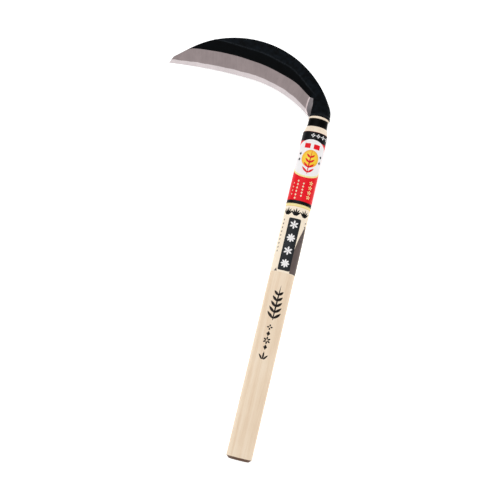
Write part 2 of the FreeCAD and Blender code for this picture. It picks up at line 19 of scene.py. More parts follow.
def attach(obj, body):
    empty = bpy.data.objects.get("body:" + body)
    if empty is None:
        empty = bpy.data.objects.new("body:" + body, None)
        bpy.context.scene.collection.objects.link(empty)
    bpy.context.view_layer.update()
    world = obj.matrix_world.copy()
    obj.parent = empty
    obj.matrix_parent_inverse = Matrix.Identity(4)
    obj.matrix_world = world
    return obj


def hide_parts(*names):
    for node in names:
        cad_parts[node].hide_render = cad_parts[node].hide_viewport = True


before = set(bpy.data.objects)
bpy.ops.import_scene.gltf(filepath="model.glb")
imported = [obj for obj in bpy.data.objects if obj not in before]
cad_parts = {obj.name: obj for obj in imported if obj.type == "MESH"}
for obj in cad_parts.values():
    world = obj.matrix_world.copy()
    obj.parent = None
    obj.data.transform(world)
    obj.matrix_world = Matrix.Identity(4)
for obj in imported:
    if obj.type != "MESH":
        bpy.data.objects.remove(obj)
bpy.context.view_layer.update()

LOG = logging.getLogger("sickle")
MM = 0.001
BODY = "root"
Colour = tuple[float, float, float]
Spot = tuple[float, float]
Grid = list[list[Vector]]


# --- plain helpers ----------------------------------------------------------------------------


def lerp(one: float, other: float, share: float) -> float:
    """Go from one number to the other by a share."""
    return one + (other - one) * share


def smooth(low: float, high: float, value: float) -> float:
    """Rise softly from 0 at low to 1 at high; low may be the larger of the two."""
    share = min(1.0, max(0.0, (value - low) / (high - low)))
    return share * share * (3 - 2 * share)


def through(knots: Sequence[Spot], value: float) -> float:
    """Read a soft curve that passes through a few knots.

    Args:
        knots: Pairs of place and height, in rising order of place.
        value: The place to read.

    Returns:
        The height there, held level beyond the first and last knot.
    """
    if value <= knots[0][0]:
        return knots[0][1]
    for index in range(len(knots) - 1):
        (x0, y0), (x1, y1) = knots[index], knots[index + 1]
        if value <= x1:
            before = knots[max(index - 1, 0)]
            after = knots[min(index + 2, len(knots) - 1)]
            span = x1 - x0
            rise0 = (y1 - before[1]) / (x1 - before[0]) * span
            rise1 = (after[1] - y0) / (after[0] - x0) * span
            t = (value - x0) / span
            return (y0 * (1 - 3 * t * t + 2 * t ** 3) + y1 * (3 * t * t - 2 * t ** 3)
                    + rise0 * (t - 2 * t * t + t ** 3) + rise1 * (t ** 3 - t * t))
    return knots[-1][1]


def linear(red: int, green: int, blue: int) -> Colour:
    """Turn a colour from a chart, each part 0 to 255, into the linear values of a shader."""
    def part(value: int) -> float:
        """Turn one part."""
        share = value / 255
        return share / 12.92 if share <= 0.04045 else ((share + 0.055) / 1.055) ** 2.4
    return part(red), part(green), part(blue)


class Line:
    """A plan line, read by the share of its length."""

    def __init__(self, points: Iterable[Spot]) -> None:
        """Take the line's points in order."""
        self.points = [Vector(point) for point in points]
        self.lengths = [0.0]
        for one, other in zip(self.points, self.points[1:]):
            self.lengths.append(self.lengths[-1] + (other - one).length)

    @property
    def length(self) -> float:
        """Length of the whole line."""
        return self.lengths[-1]

    def at(self, share: float) -> Vector:
        """Find the point at a share of the length."""
        want = min(max(share, 0.0), 1.0) * self.length
        for index in range(len(self.points) - 1):
            if want <= self.lengths[index + 1] or index == len(self.points) - 2:
                span = self.lengths[index + 1] - self.lengths[index]
                part = (want - self.lengths[index]) / span if span else 0.0
                return self.points[index].lerp(self.points[index + 1], part)
        return self.points[-1].copy()

    @classmethod
    def curved(cls, knots: Sequence[Spot], steps: int = 16) -> "Line":
        """Bend a smooth line through a few knots."""
        spots = [Vector(knot) for knot in knots]
        ends = [spots[0] * 2 - spots[1], *spots, spots[-1] * 2 - spots[-2]]
        found: list[Vector] = []
        for index in range(len(spots) - 1):
            a, b, c, d = ends[index:index + 4]
            for step in range(steps):
                t = step / steps
                found.append(0.5 * (2 * b + (c - a) * t + (2 * a - 5 * b + 4 * c - d) * t * t
                                    + (3 * b - a - 3 * c + d) * t ** 3))
        return cls([*found, spots[-1]])


# --- shader expressions -----------------------------------------------------------------------

Value = Union[float, Colour, "Field", "Tint"]


class Paint:
    """A material's node tree, written as expressions on its sockets."""

    def __init__(self, name: str) -> None:
        """Start an empty material."""
        self.material = bpy.data.materials.new(name)
        self.material.use_nodes = True
        self.tree = self.material.node_tree
        self.tree.nodes.clear()

    def node(self, kind: str, settings: Optional[Mapping[str, Any]] = None,
             inputs: Optional[Mapping[Any, Value]] = None) -> bpy.types.Node:
        """Make one node.

        Args:
            kind: The node's type.
            settings: Its settings, set first; "stops" holds a ramp's places and colours.
            inputs: Values or links for its sockets, by name or number.

        Returns:
            The node.
        """
        made = self.tree.nodes.new(kind)
        for key, value in (settings or {}).items():
            if key == "stops":
                self._set_stops(made.color_ramp, value)
            else:
                setattr(made, key, value)
        for key, value in (inputs or {}).items():
            self.put(made.inputs[key], value)
        return made

    @staticmethod
    def _set_stops(ramp: bpy.types.ColorRamp, stops: Sequence[tuple[float, Colour]]) -> None:
        """Give a ramp its places and colours."""
        while len(ramp.elements) < len(stops):
            ramp.elements.new(1.0)
        for element, (place, colour) in zip(ramp.elements, stops):
            element.position = place
            element.color = (*colour, 1.0)

    def put(self, socket: bpy.types.NodeSocket, value: Value) -> None:
        """Link an expression to a socket, or set a plain value on it."""
        if isinstance(value, (Field, Tint)):
            self.tree.links.new(value.socket, socket)
        elif isinstance(value, tuple) and socket.type == "RGBA":
            socket.default_value = (*value, 1.0)
        else:
            socket.default_value = value

    def place(self, scale: Colour = (1.0, 1.0, 1.0)) -> "Tint":
        """Give a point's place in the sickle's frame in millimetres, stretched along each axis."""
        spot = Tint(self, self.node("ShaderNodeTexCoord").outputs["Object"])
        return spot.times(tuple(part / MM for part in scale))

    def attribute(self, name: str) -> "Field":
        """Read a number that the mesh carries at each point."""
        return Field(self, self.node("ShaderNodeAttribute", {"attribute_name": name}).outputs["Fac"])

    def noise(self, spot: "Tint", scale: float, detail: float = 3.0, rough: float = 0.55,
              swirl: float = 0.0) -> "Field":
        """Give soft random values from 0 to 1, with features about 1 / scale millimetres wide."""
        made = self.node("ShaderNodeTexNoise", inputs={"Vector": spot, "Scale": scale, "Detail": detail,
                                                       "Roughness": rough, "Distortion": swirl})
        return Field(self, made.outputs["Fac"])

    def cells(self, spot: "Tint", scale: float) -> "Field":
        """Give the distance to the nearest of a scatter of dots."""
        made = self.node("ShaderNodeTexVoronoi", inputs={"Vector": spot, "Scale": scale})
        return Field(self, made.outputs["Distance"])

    def combine(self, x: Value, y: Value, z: Value) -> "Tint":
        """Put three numbers together as a place."""
        return Tint(self, self.node("ShaderNodeCombineXYZ", inputs={0: x, 1: y, 2: z}).outputs[0])

    def bump(self, height: "Field", depth: float) -> "Tint":
        """Turn a height from 0 to 1 into a normal; depth is the height of 1, in millimetres."""
        inputs = {"Height": height, "Distance": depth * MM, "Strength": 1.0}
        made = self.node("ShaderNodeBump", inputs=inputs)
        return Tint(self, made.outputs["Normal"])

    def finish(self, **sockets: Value) -> bpy.types.Material:
        """Close the material with one Principled shader; underscores in names stand for spaces."""
        inputs = {name.replace("_", " "): value for name, value in sockets.items()}
        shader = self.node("ShaderNodeBsdfPrincipled", inputs=inputs)
        out = self.node("ShaderNodeOutputMaterial")
        self.tree.links.new(shader.outputs[0], out.inputs["Surface"])
        return self.material


class Field:
    """A number that varies over a surface, with arithmetic that adds its Math nodes."""

    def __init__(self, paint: Paint, socket: bpy.types.NodeSocket) -> None:
        """Wrap an output socket."""
        self.paint = paint
        self.socket = socket

    def _math(self, operation: str, *values: Value) -> "Field":
        """Add one Math node."""
        made = self.paint.node("ShaderNodeMath", {"operation": operation}, dict(enumerate(values)))
        return Field(self.paint, made.outputs[0])

    @staticmethod
    def _operator(operation: str, first: bool = True) -> Callable[["Field", Value], "Field"]:
        """Make the method behind an operator; first tells whether the field stands first."""
        def method(self: "Field", other: Value) -> "Field":
            """Add the operator's Math node."""
            return self._math(operation, *((self, other) if first else (other, self)))
        return method

    __add__ = _operator("ADD")
    __radd__ = _operator("ADD", first=False)
    __sub__ = _operator("SUBTRACT")
    __rsub__ = _operator("SUBTRACT", first=False)
    __mul__ = _operator("MULTIPLY")
    __rmul__ = _operator("MULTIPLY", first=False)
    __truediv__ = _operator("DIVIDE")
    __pow__ = _operator("POWER")

    def sine(self) -> "Field":
        """Sine."""
        return self._math("SINE", self)

    def rise(self, low: float, high: float) -> "Field":
        """Rise softly from 0 at low to 1 at high."""
        made = self.paint.node("ShaderNodeMapRange", {"interpolation_type": "SMOOTHSTEP"},
                               {"Value": self, "From Min": low, "From Max": high})
        return Field(self.paint, made.outputs["Result"])

    def between(self, one: Union[Colour, "Tint"], other: Union[Colour, "Tint"]) -> "Tint":
        """Mix two colours: the first at 0, the other at 1."""
        made = self.paint.node("ShaderNodeMix", {"data_type": "RGBA"}, {"Factor": self})
        self.paint.put(made.inputs[6], one)
        self.paint.put(made.inputs[7], other)
        return Tint(self.paint, made.outputs[2])

    def ramp(self, *stops: tuple[float, Colour]) -> "Tint":
        """Read a ramp of colours."""
        made = self.paint.node("ShaderNodeValToRGB", {"stops": stops}, {"Fac": self})
        return Tint(self.paint, made.outputs["Color"])


class Tint:
    """A colour or a place that varies over a surface."""

    def __init__(self, paint: Paint, socket: bpy.types.NodeSocket) -> None:
        """Wrap an output socket."""
        self.paint = paint
        self.socket = socket

    def times(self, other: Value) -> "Tint":
        """Multiply part by part."""
        made = self.paint.node("ShaderNodeVectorMath", {"operation": "MULTIPLY"}, {0: self, 1: other})
        return Tint(self.paint, made.outputs[0])

    def part(self, axis: int) -> Field:
        """Take one of the three parts."""
        return Field(self.paint, self.paint.node("ShaderNodeSeparateXYZ", inputs={0: self}).outputs[axis])


# --- finishes ---------------------------------------------------------------------------------


@dataclass(frozen=True)
class ForgeScale:
    """Black scale left by the fire, sealed with thin lacquer, with painted highlights on its ridge and
    flange rim and painted shade on the band below the ridge.
    """

    name: str = "forge_scale"
    deep: Colour = linear(2, 3, 4)
    # Colour of the painted highlight on the ridge and the flange rim.
    worn: Colour = linear(42, 47, 52)
    slate: Colour = linear(13, 19, 25)

    def make(self) -> bpy.types.Material:
        """Build the material."""
        paint = Paint(self.name)
        spot = paint.place()
        patches = paint.noise(spot, 0.16, 4.0, 0.6)
        grit = paint.noise(spot, 2.6, 4.0, 0.65)
        pits = paint.cells(spot, 0.9)
        band = paint.attribute("band")
        # Painted highlight: the ridge and the flange rim are lightened, as where they catch the light.
        painted_highlight = paint.attribute("wear_and_highlight") * paint.noise(spot, 0.8, 4.0, 0.7).rise(0.34, 0.66)
        ground = patches.rise(0.3, 0.7).between(self.deep, self.slate)
        # Painted shade: the sloping band between bevel and ridge is pulled towards the deep colour.
        ground = (band * 0.85).between(ground, self.deep)
        colour = (painted_highlight * 0.9).between(ground, self.worn)
        rough = 0.42 + grit * 0.22 + band * 0.1 - painted_highlight * 0.12
        height = grit * 0.5 + patches * 0.6 + pits.rise(0.05, 0.4) * 0.5
        return paint.finish(Base_Color=colour, Roughness=rough, Specular_IOR_Level=0.045,
                            Normal=paint.bump(height, 0.07))


@dataclass(frozen=True)
class GroundSteel:
    """Steel straight from the wheel: fine scratches square to the edge and soft clouds of polish."""

    name: str
    light: Colour
    dark: Colour
    rough: float
    scratch: float = 0.012

    def make(self) -> bpy.types.Material:
        """Build the material."""
        paint = Paint(self.name)
        spot = paint.place()
        along = paint.attribute("along")
        inwards = paint.attribute("inwards")
        wheel = paint.combine(along + inwards * 0.22, inwards * 0.035, 0.0)
        fine = paint.noise(wheel, 4.2, 3.0, 0.6)
        broad = paint.noise(paint.combine(along + inwards * 0.22, inwards * 0.12, 3.0), 0.55, 3.0, 0.6)
        cloud = paint.noise(spot, 0.07, 3.0, 0.5)
        stain_and_shade = paint.noise(spot, 0.35, 4.0, 0.6).rise(0.62, 0.8)
        tone = (fine * 0.45 + broad * 0.35 + cloud * 0.5) - 0.15
        colour = tone.rise(0.15, 0.85).between(self.dark, self.light)
        colour = (stain_and_shade * 0.25).between(colour, linear(120, 104, 98))
        # Painted highlight: a light line along the edge where the heel facet begins, read from the "line"
        # attribute.
        colour = (paint.attribute("line") * 0.8).between(colour, linear(206, 190, 190))
        rough = self.rough + (fine - 0.5) * 0.2 + stain_and_shade * 0.08
        return paint.finish(Base_Color=colour, Metallic=1.0, Roughness=rough,
                            Normal=paint.bump(fine * 0.7 + broad * 0.3, self.scratch))


@dataclass(frozen=True)
class RingPaint:
    """Black stoved paint on the ferrule ring, thinned on its rims."""

    name: str = "ring_paint"

    def make(self) -> bpy.types.Material:
        """Build the material."""
        paint = Paint(self.name)
        spot = paint.place()
        peel = paint.noise(spot, 1.4, 2.0, 0.5)
        dust = paint.noise(spot, 6.0, 3.0, 0.6).rise(0.6, 0.8)
        bare = paint.attribute("wear_and_highlight") * paint.noise(spot, 1.6, 4.0, 0.7).rise(0.5, 0.62)
        colour = (dust * 0.25).between(linear(2, 2, 2), linear(24, 24, 25))
        colour = bare.between(colour, linear(96, 90, 86))
        return paint.finish(Base_Color=colour, Roughness=0.3 + peel * 0.12 + dust * 0.15,
                            Specular_IOR_Level=0.05, Normal=paint.bump(peel, 0.03))


@dataclass(frozen=True)
class PaleWood:
    """Plain straight-grained white wood, sanded, with its butt chamfer painted dark brown: darker end grain
    and painted shade.
    """

    butt: float
    collar: float
    name: str = "pale_wood"
    light: Colour = linear(249, 232, 210)
    mid: Colour = linear(240, 218, 191)
    dark: Colour = linear(220, 189, 157)

    def make(self) -> bpy.types.Material:
        """Build the material."""
        paint = Paint(self.name)
        spot = paint.place()
        drift = paint.noise(paint.place((1.0, 0.02, 1.0)), 0.11, 2.0, 0.5)
        across = spot.part(0) * 0.62 + spot.part(2) * 0.35 + spot.part(1) * 0.012
        rings = (across + drift * 9.0).sine() * 0.5 + 0.5
        streak = paint.noise(paint.place((1.0, 0.018, 1.0)), 1.5, 4.0, 0.62)
        fibre = paint.noise(paint.place((1.0, 0.03, 1.0)), 5.5, 3.0, 0.6)
        pore = paint.noise(paint.place((1.0, 0.06, 1.0)), 3.4, 2.0, 0.5).rise(0.66, 0.76)
        cloud = paint.noise(spot, 0.02, 2.0, 0.5)
        tone = rings * 0.16 + streak * 0.6 + fibre * 0.25 + (cloud - 0.5) * 0.4
        body = tone.ramp((0.22, self.light), (0.5, self.mid), (0.9, self.dark))
        body = (pore * 0.4).between(body, self.dark)
        height_up = spot.part(1)
        pale = height_up.rise(self.collar - 40.0, self.collar + 2.0)
        body = (pale * 0.5).between(body, linear(252, 238, 220))
        # The butt chamfer is painted dark brown, partly for its darker end grain and partly as painted
        # shade.
        edge = height_up + (paint.noise(spot, 0.5, 3.0, 0.6) - 0.5) * 0.7
        butt_grain_and_shade = 1.0 - edge.rise(self.butt - 0.35, self.butt + 0.25)
        stain_and_shade = paint.noise(spot, 0.8, 3.0, 0.6).between(linear(72, 44, 30), linear(112, 80, 56))
        colour = butt_grain_and_shade.between(body, stain_and_shade)
        rough = 0.52 + (streak - 0.5) * 0.16 + pore * 0.15
        height = fibre * 0.5 + streak * 0.35 + (1.0 - pore) * 0.6
        return paint.finish(Base_Color=colour, Roughness=rough, Specular_IOR_Level=0.3,
                            Normal=paint.bump(height, 0.035))


@dataclass(frozen=True)
class PinSteel:
    """Bright drawn wire of the cross pin."""

    name: str = "pin_steel"

    def make(self) -> bpy.types.Material:
        """Build the material."""
        paint = Paint(self.name)
        drawn = paint.noise(paint.place((1.0, 1.0, 0.05)), 6.0, 3.0, 0.6)
        colour = drawn.between(linear(120, 116, 112), linear(196, 192, 188))
        return paint.finish(Base_Color=colour, Metallic=1.0, Roughness=0.25 + drawn * 0.2,
                            Normal=paint.bump(drawn, 0.01))


@dataclass(frozen=True)
class Ink:
    """One printing ink, or the coated paper itself, under a thin gloss."""

    name: str
    colour: Colour
    second: Colour
    mottle: float = 0.5
    gloss: float = 0.34
    sheen: float = 0.12

    def make(self) -> bpy.types.Material:
        """Build the material."""
        paint = Paint(self.name)
        spot = paint.place()
        grain = paint.noise(spot, 3.0, 3.0, 0.6)
        wash = paint.noise(paint.place((1.0, 0.35, 1.0)), 0.35, 3.0, 0.55)
        colour = (wash.rise(0.25, 0.75) * self.mottle + grain * 0.15).between(self.colour, self.second)
        rough = self.gloss + (grain - 0.5) * 0.14 + (wash - 0.5) * 0.1
        return paint.finish(Base_Color=colour, Roughness=rough, Specular_IOR_Level=self.sheen,
                            Normal=paint.bump(wash * 0.8 + grain * 0.2, 0.02))


@dataclass(frozen=True)
class Sun:
    """Yellow ink that deepens to orange towards the rim of a disc."""

    middle: Spot
    radius: float
    name: str = "sun_ink"

    def make(self) -> bpy.types.Material:
        """Build the material."""
        paint = Paint(self.name)
        spot = paint.place()
        out_x = (spot.part(0) - self.middle[0]) / self.radius
        out_y = (spot.part(1) - self.middle[1]) / self.radius
        out = (out_x * out_x + out_y * out_y) ** 0.5
        grain = paint.noise(spot, 3.0, 3.0, 0.6)
        colour = (out + (grain - 0.5) * 0.12).ramp(
            (0.25, linear(252, 226, 70)), (0.7, linear(250, 205, 50)), (1.0, linear(246, 170, 48)))
        return paint.finish(Base_Color=colour, Roughness=0.3 + grain * 0.12, Specular_IOR_Level=0.3,
                            Normal=paint.bump(grain, 0.008))


@dataclass(frozen=True)
class FloorPaint:
    """Plain pale studio floor."""

    name: str = "studio_floor"

    def make(self) -> bpy.types.Material:
        """Build the material."""
        paint = Paint(self.name)
        cloud = paint.noise(paint.place(), 0.01, 2.0, 0.5)
        colour = cloud.between((0.9, 0.9, 0.9), (0.93, 0.93, 0.93))
        return paint.finish(Base_Color=colour, Roughness=0.9, Specular_IOR_Level=0.05,
                            Emission_Color=(1.0, 1.0, 1.0), Emission_Strength=0.6)


# --- meshes -----------------------------------------------------------------------------------


class Skin:
    """Points and faces of one piece while it is being built, in millimetres."""

    def __init__(self) -> None:
        """Start empty."""
        self.points: list[Vector] = []
        self.faces: list[tuple[int, ...]] = []
        self.slots: list[int] = []

    def row(self, points: Iterable[Sequence[float]]) -> list[int]:
        """Add points and give their numbers."""
        first = len(self.points)
        self.points.extend(Vector(point) for point in points)
        return list(range(first, len(self.points)))

    def face(self, corners: Sequence[int], slot: int = 0) -> None:
        """Add a face unless it has no area."""
        kept = [corner for index, corner in enumerate(corners) if corner != corners[index - 1]]
        if len(kept) > 2:
            self.faces.append(tuple(kept))
            self.slots.append(slot)

    def strip(self, one: Sequence[int], other: Sequence[int], slot: int = 0, closed: bool = False) -> None:
        """Join two rows of points with quads.

        Args:
            one: The first row; the faces look up when it runs right and the other lies above.
            other: The second row, of the same length.
            slot: Number of the faces' finish.
            closed: Whether the rows run round and meet themselves.
        """
        count = len(one)
        for index in range(count if closed else count - 1):
            after = (index + 1) % count
            self.face((one[index], one[after], other[after], other[index]), slot)

    def tube(self, rows: Sequence[Sequence[int]], looped: bool = False) -> None:
        """Join rings one after the other, and the last to the first if looped."""
        for one, other in zip(rows, [*rows[1:], *(rows[:1] if looped else [])]):
            self.strip(one, other, closed=True)

    def block(self, low: Sequence[int], high: Sequence[int]) -> None:
        """Close the solid between two matching rings."""
        self.strip(low, high, closed=True)
        self.face(high)
        self.face(low[::-1])

    def grid(self, rows: Sequence[Sequence[int]], slot: int = 0, flipped: bool = False) -> None:
        """Join a list of rows, one after the other."""
        for one, other in zip(rows, rows[1:]):
            if flipped:
                one, other = other, one
            self.strip(one, other, slot)

    def build(self, name: str, finishes: Sequence[bpy.types.Material], place: Optional[Matrix] = None,
              sharp: float = 32.0) -> bpy.types.Object:
        """Make the object in metres.

        Args:
            name: Name of the piece.
            finishes: Materials, in the order of the faces' slots.
            place: Where the piece's own frame lies, in millimetres.
            sharp: Angle in degrees above which an edge stays sharp.

        Returns:
            The object, with no parent and its place in its mesh.
        """
        place = place or Matrix.Identity(4)
        mesh = bpy.data.meshes.new(name)
        mesh.from_pydata([(place @ point) * MM for point in self.points], [], self.faces)
        for material in finishes:
            mesh.materials.append(material)
        mesh.polygons.foreach_set("material_index", self.slots)
        made = bpy.data.objects.new(name, mesh)
        bpy.context.scene.collection.objects.link(made)
        clean(made, sharp)
        return made


def clean(made: bpy.types.Object, sharp: float, close: bool = False) -> None:
    """Weld a mesh, close slits if asked, turn faces outwards and shade smooth between sharp edges."""
    mesh = made.data
    work = bmesh.new()
    work.from_mesh(mesh)
    bmesh.ops.remove_doubles(work, verts=work.verts, dist=0.002 * MM)
    bmesh.ops.dissolve_degenerate(work, edges=work.edges, dist=0.001 * MM)
    loose = [vert for vert in work.verts if not vert.link_faces]
    bmesh.ops.delete(work, geom=loose, context="VERTS")
    if close:
        slits = [edge for edge in work.edges if edge.is_boundary]
        bmesh.ops.holes_fill(work, edges=slits, sides=16)
    bmesh.ops.recalc_face_normals(work, faces=work.faces)
    work.to_mesh(mesh)
    work.free()
    shade(made, sharp)


def shade(made: bpy.types.Object, sharp: float) -> None:
    """Shade a mesh smooth between edges sharper than an angle in degrees."""
    made.data.shade_smooth()
    made.data.set_sharp_from_angle(angle=math.radians(sharp))


class Cut(Enum):
    """Ways to combine two solids."""

    AWAY = "DIFFERENCE"
    SHARED = "INTERSECT"
    JOINED = "UNION"


def carve(made: bpy.types.Object, tool: bpy.types.Object, how: Cut, sharp: float = 32.0) -> None:
    """Combine a solid with a tool, and put the tool away."""
    change = made.modifiers.new("carve", "BOOLEAN")
    change.operation = how.value
    change.object = tool
    change.solver = "EXACT"
    bpy.context.view_layer.update()
    ready = made.evaluated_get(bpy.context.evaluated_depsgraph_get())
    mesh = bpy.data.meshes.new_from_object(ready)
    made.modifiers.remove(change)
    old = made.data
    made.data = mesh
    bpy.data.meshes.remove(old)
    mesh.name = made.name
    clean(made, sharp, close=True)
    bpy.data.objects.remove(tool)


def carry(made: bpy.types.Object, name: str, measure: Callable[[Vector], float]) -> None:
    """Write a number on each point of a mesh for its finish to read."""
    values = [measure(vert.co / MM) for vert in made.data.vertices]
    layer = made.data.attributes.new(name, "FLOAT", "POINT")
    layer.data.foreach_set("value", values)


@dataclass(frozen=True)
class Oval:
    """The handle's oval section, wider than it is deep, and the surface round it."""

    half_width: float
    half_depth: float
    segments: int = 176

    def corner(self, index: float, step: float = 0.0, scale: float = 1.0) -> tuple[float, float]:
        """X and Z of a point round the section, taken in by a step; 0 is the top, then towards +X."""
        turn = 2 * math.pi * index / self.segments
        return ((self.half_width - step) * scale * math.sin(turn),
                (self.half_depth - step) * scale * math.cos(turn))

    def arc_table(self, step: float = 0.0) -> list[float]:
        """Length round the section from the top to each of its points."""
        spots = [Vector(self.corner(index, step)) for index in range(self.segments + 1)]
        found = [0.0]
        for one, other in zip(spots, spots[1:]):
            found.append(found[-1] + (other - one).length)
        return found

    def ring(self, skin: Skin, y: Union[float, Callable[[float], float]], step: float,
             scale: float = 1.0) -> list[int]:
        """Add one ring of points at a height, taken in by a step and then scaled."""
        spots = []
        for index in range(self.segments):
            x, z = self.corner(index, step, scale)
            spots.append((x, y(x) if callable(y) else y, z))
        return skin.row(spots)


def prism(outline: Sequence[Spot], low: float, high: float, name: str,
          place: Optional[Matrix] = None) -> bpy.types.Object:
    """Make a plain cutting tool: a plan outline between two heights."""
    skin = Skin()
    bottom = skin.row((x, y, low) for x, y in outline)
    top = skin.row((x, y, high) for x, y in outline)
    skin.block(bottom, top)
    return skin.build(name, [], place)


def taper(root: Spot, tip: Spot, root_y: float, tip_y: float, name: str,
          place: Optional[Matrix] = None) -> bpy.types.Object:
    """Make a tapered bar with an oblong section along Y, from its root's size to its tip's."""
    skin = Skin()
    rows = [skin.row((side_x * width / 2, y, side_z * depth / 2)
                     for side_x, side_z in ((1, 1), (1, -1), (-1, -1), (-1, 1)))
            for (width, depth), y in ((root, root_y), (tip, tip_y))]
    skin.block(*rows)
    return skin.build(name, [], place)


def rod(diameter: float, half_length: float, y: float, name: str) -> bpy.types.Object:
    """Make a round cutting tool along Z."""
    count = 40
    turns = [2 * math.pi * index / count for index in range(count)]
    outline = [(diameter / 2 * math.cos(turn), y + diameter / 2 * math.sin(turn)) for turn in turns]
    return prism(outline, -half_length, half_length, name)


# --- the forging ------------------------------------------------------------------------------


@dataclass(frozen=True)
class BladePlan:
    """The blade's edge seen from above: a long shallow curve that tightens towards the heel."""

    far_centre: Spot = (-134.6, -519.9)
    far_radius: float = 554.0
    near_centre: Spot = (-101.19, -106.25)
    near_radius: float = 139.0
    lean: float = math.radians(4.6176)

    def spot(self, along: float, inwards: float) -> Vector:
        """Find the point so far along the edge from where its curves meet, and so far in from it."""
        centre, radius = ((self.far_centre, self.far_radius) if along < 0
                          else (self.near_centre, self.near_radius))
        turn = self.lean + along / radius
        reach = radius + inwards
        return Vector((centre[0] + reach * math.sin(turn), centre[1] + reach * math.cos(turn)))

    def place_of(self, x: float, y: float) -> tuple[float, float]:
        """Find how far along the edge and how far in from it a point lies."""
        turn = math.atan2(x - self.far_centre[0], y - self.far_centre[1])
        centre, radius = self.far_centre, self.far_radius
        if turn > self.lean:
            centre, radius = self.near_centre, self.near_radius
            turn = math.atan2(x - centre[0], y - centre[1])
        return (turn - self.lean) * radius, math.dist((x, y), centre) - radius


def arc(centre: Vector, one: Vector, other: Vector, steps: int) -> list[Vector]:
    """Walk clockwise round a centre from one point to the other."""
    start, end = one - centre, other - centre
    first = math.atan2(start.x, start.y)
    last = math.atan2(end.x, end.y)
    radius = start.length
    return [centre + radius * Vector((math.sin(lerp(first, last, k / steps)),
                                      math.cos(lerp(first, last, k / steps)))) for k in range(steps + 1)]


def coons(low: Sequence[Vector], high: Sequence[Vector], left: Sequence[Vector],
          right: Sequence[Vector]) -> Grid:
    """Fill a four-sided patch from its sides.

    Args:
        low: The first row, from left to right.
        high: The last row, of the same length.
        left: The first points of all rows, from low to high.
        right: The last points of all rows, of the same length.

    Returns:
        The rows of points, with the sides themselves as given.
    """
    rows = []
    for j in range(len(left)):
        v = j / (len(left) - 1)
        row = []
        for i in range(len(low)):
            u = i / (len(low) - 1)
            blend = (low[i] * (1 - v) + high[i] * v + left[j] * (1 - u) + right[j] * u
                     - low[0] * (1 - u) * (1 - v) - low[-1] * u * (1 - v) - high[0] * (1 - u) * v
                     - high[-1] * u * v)
            row.append(blend)
        row[0], row[-1] = left[j], right[j]
        rows.append(row)
    rows[0], rows[-1] = list(low), list(high)
    return rows


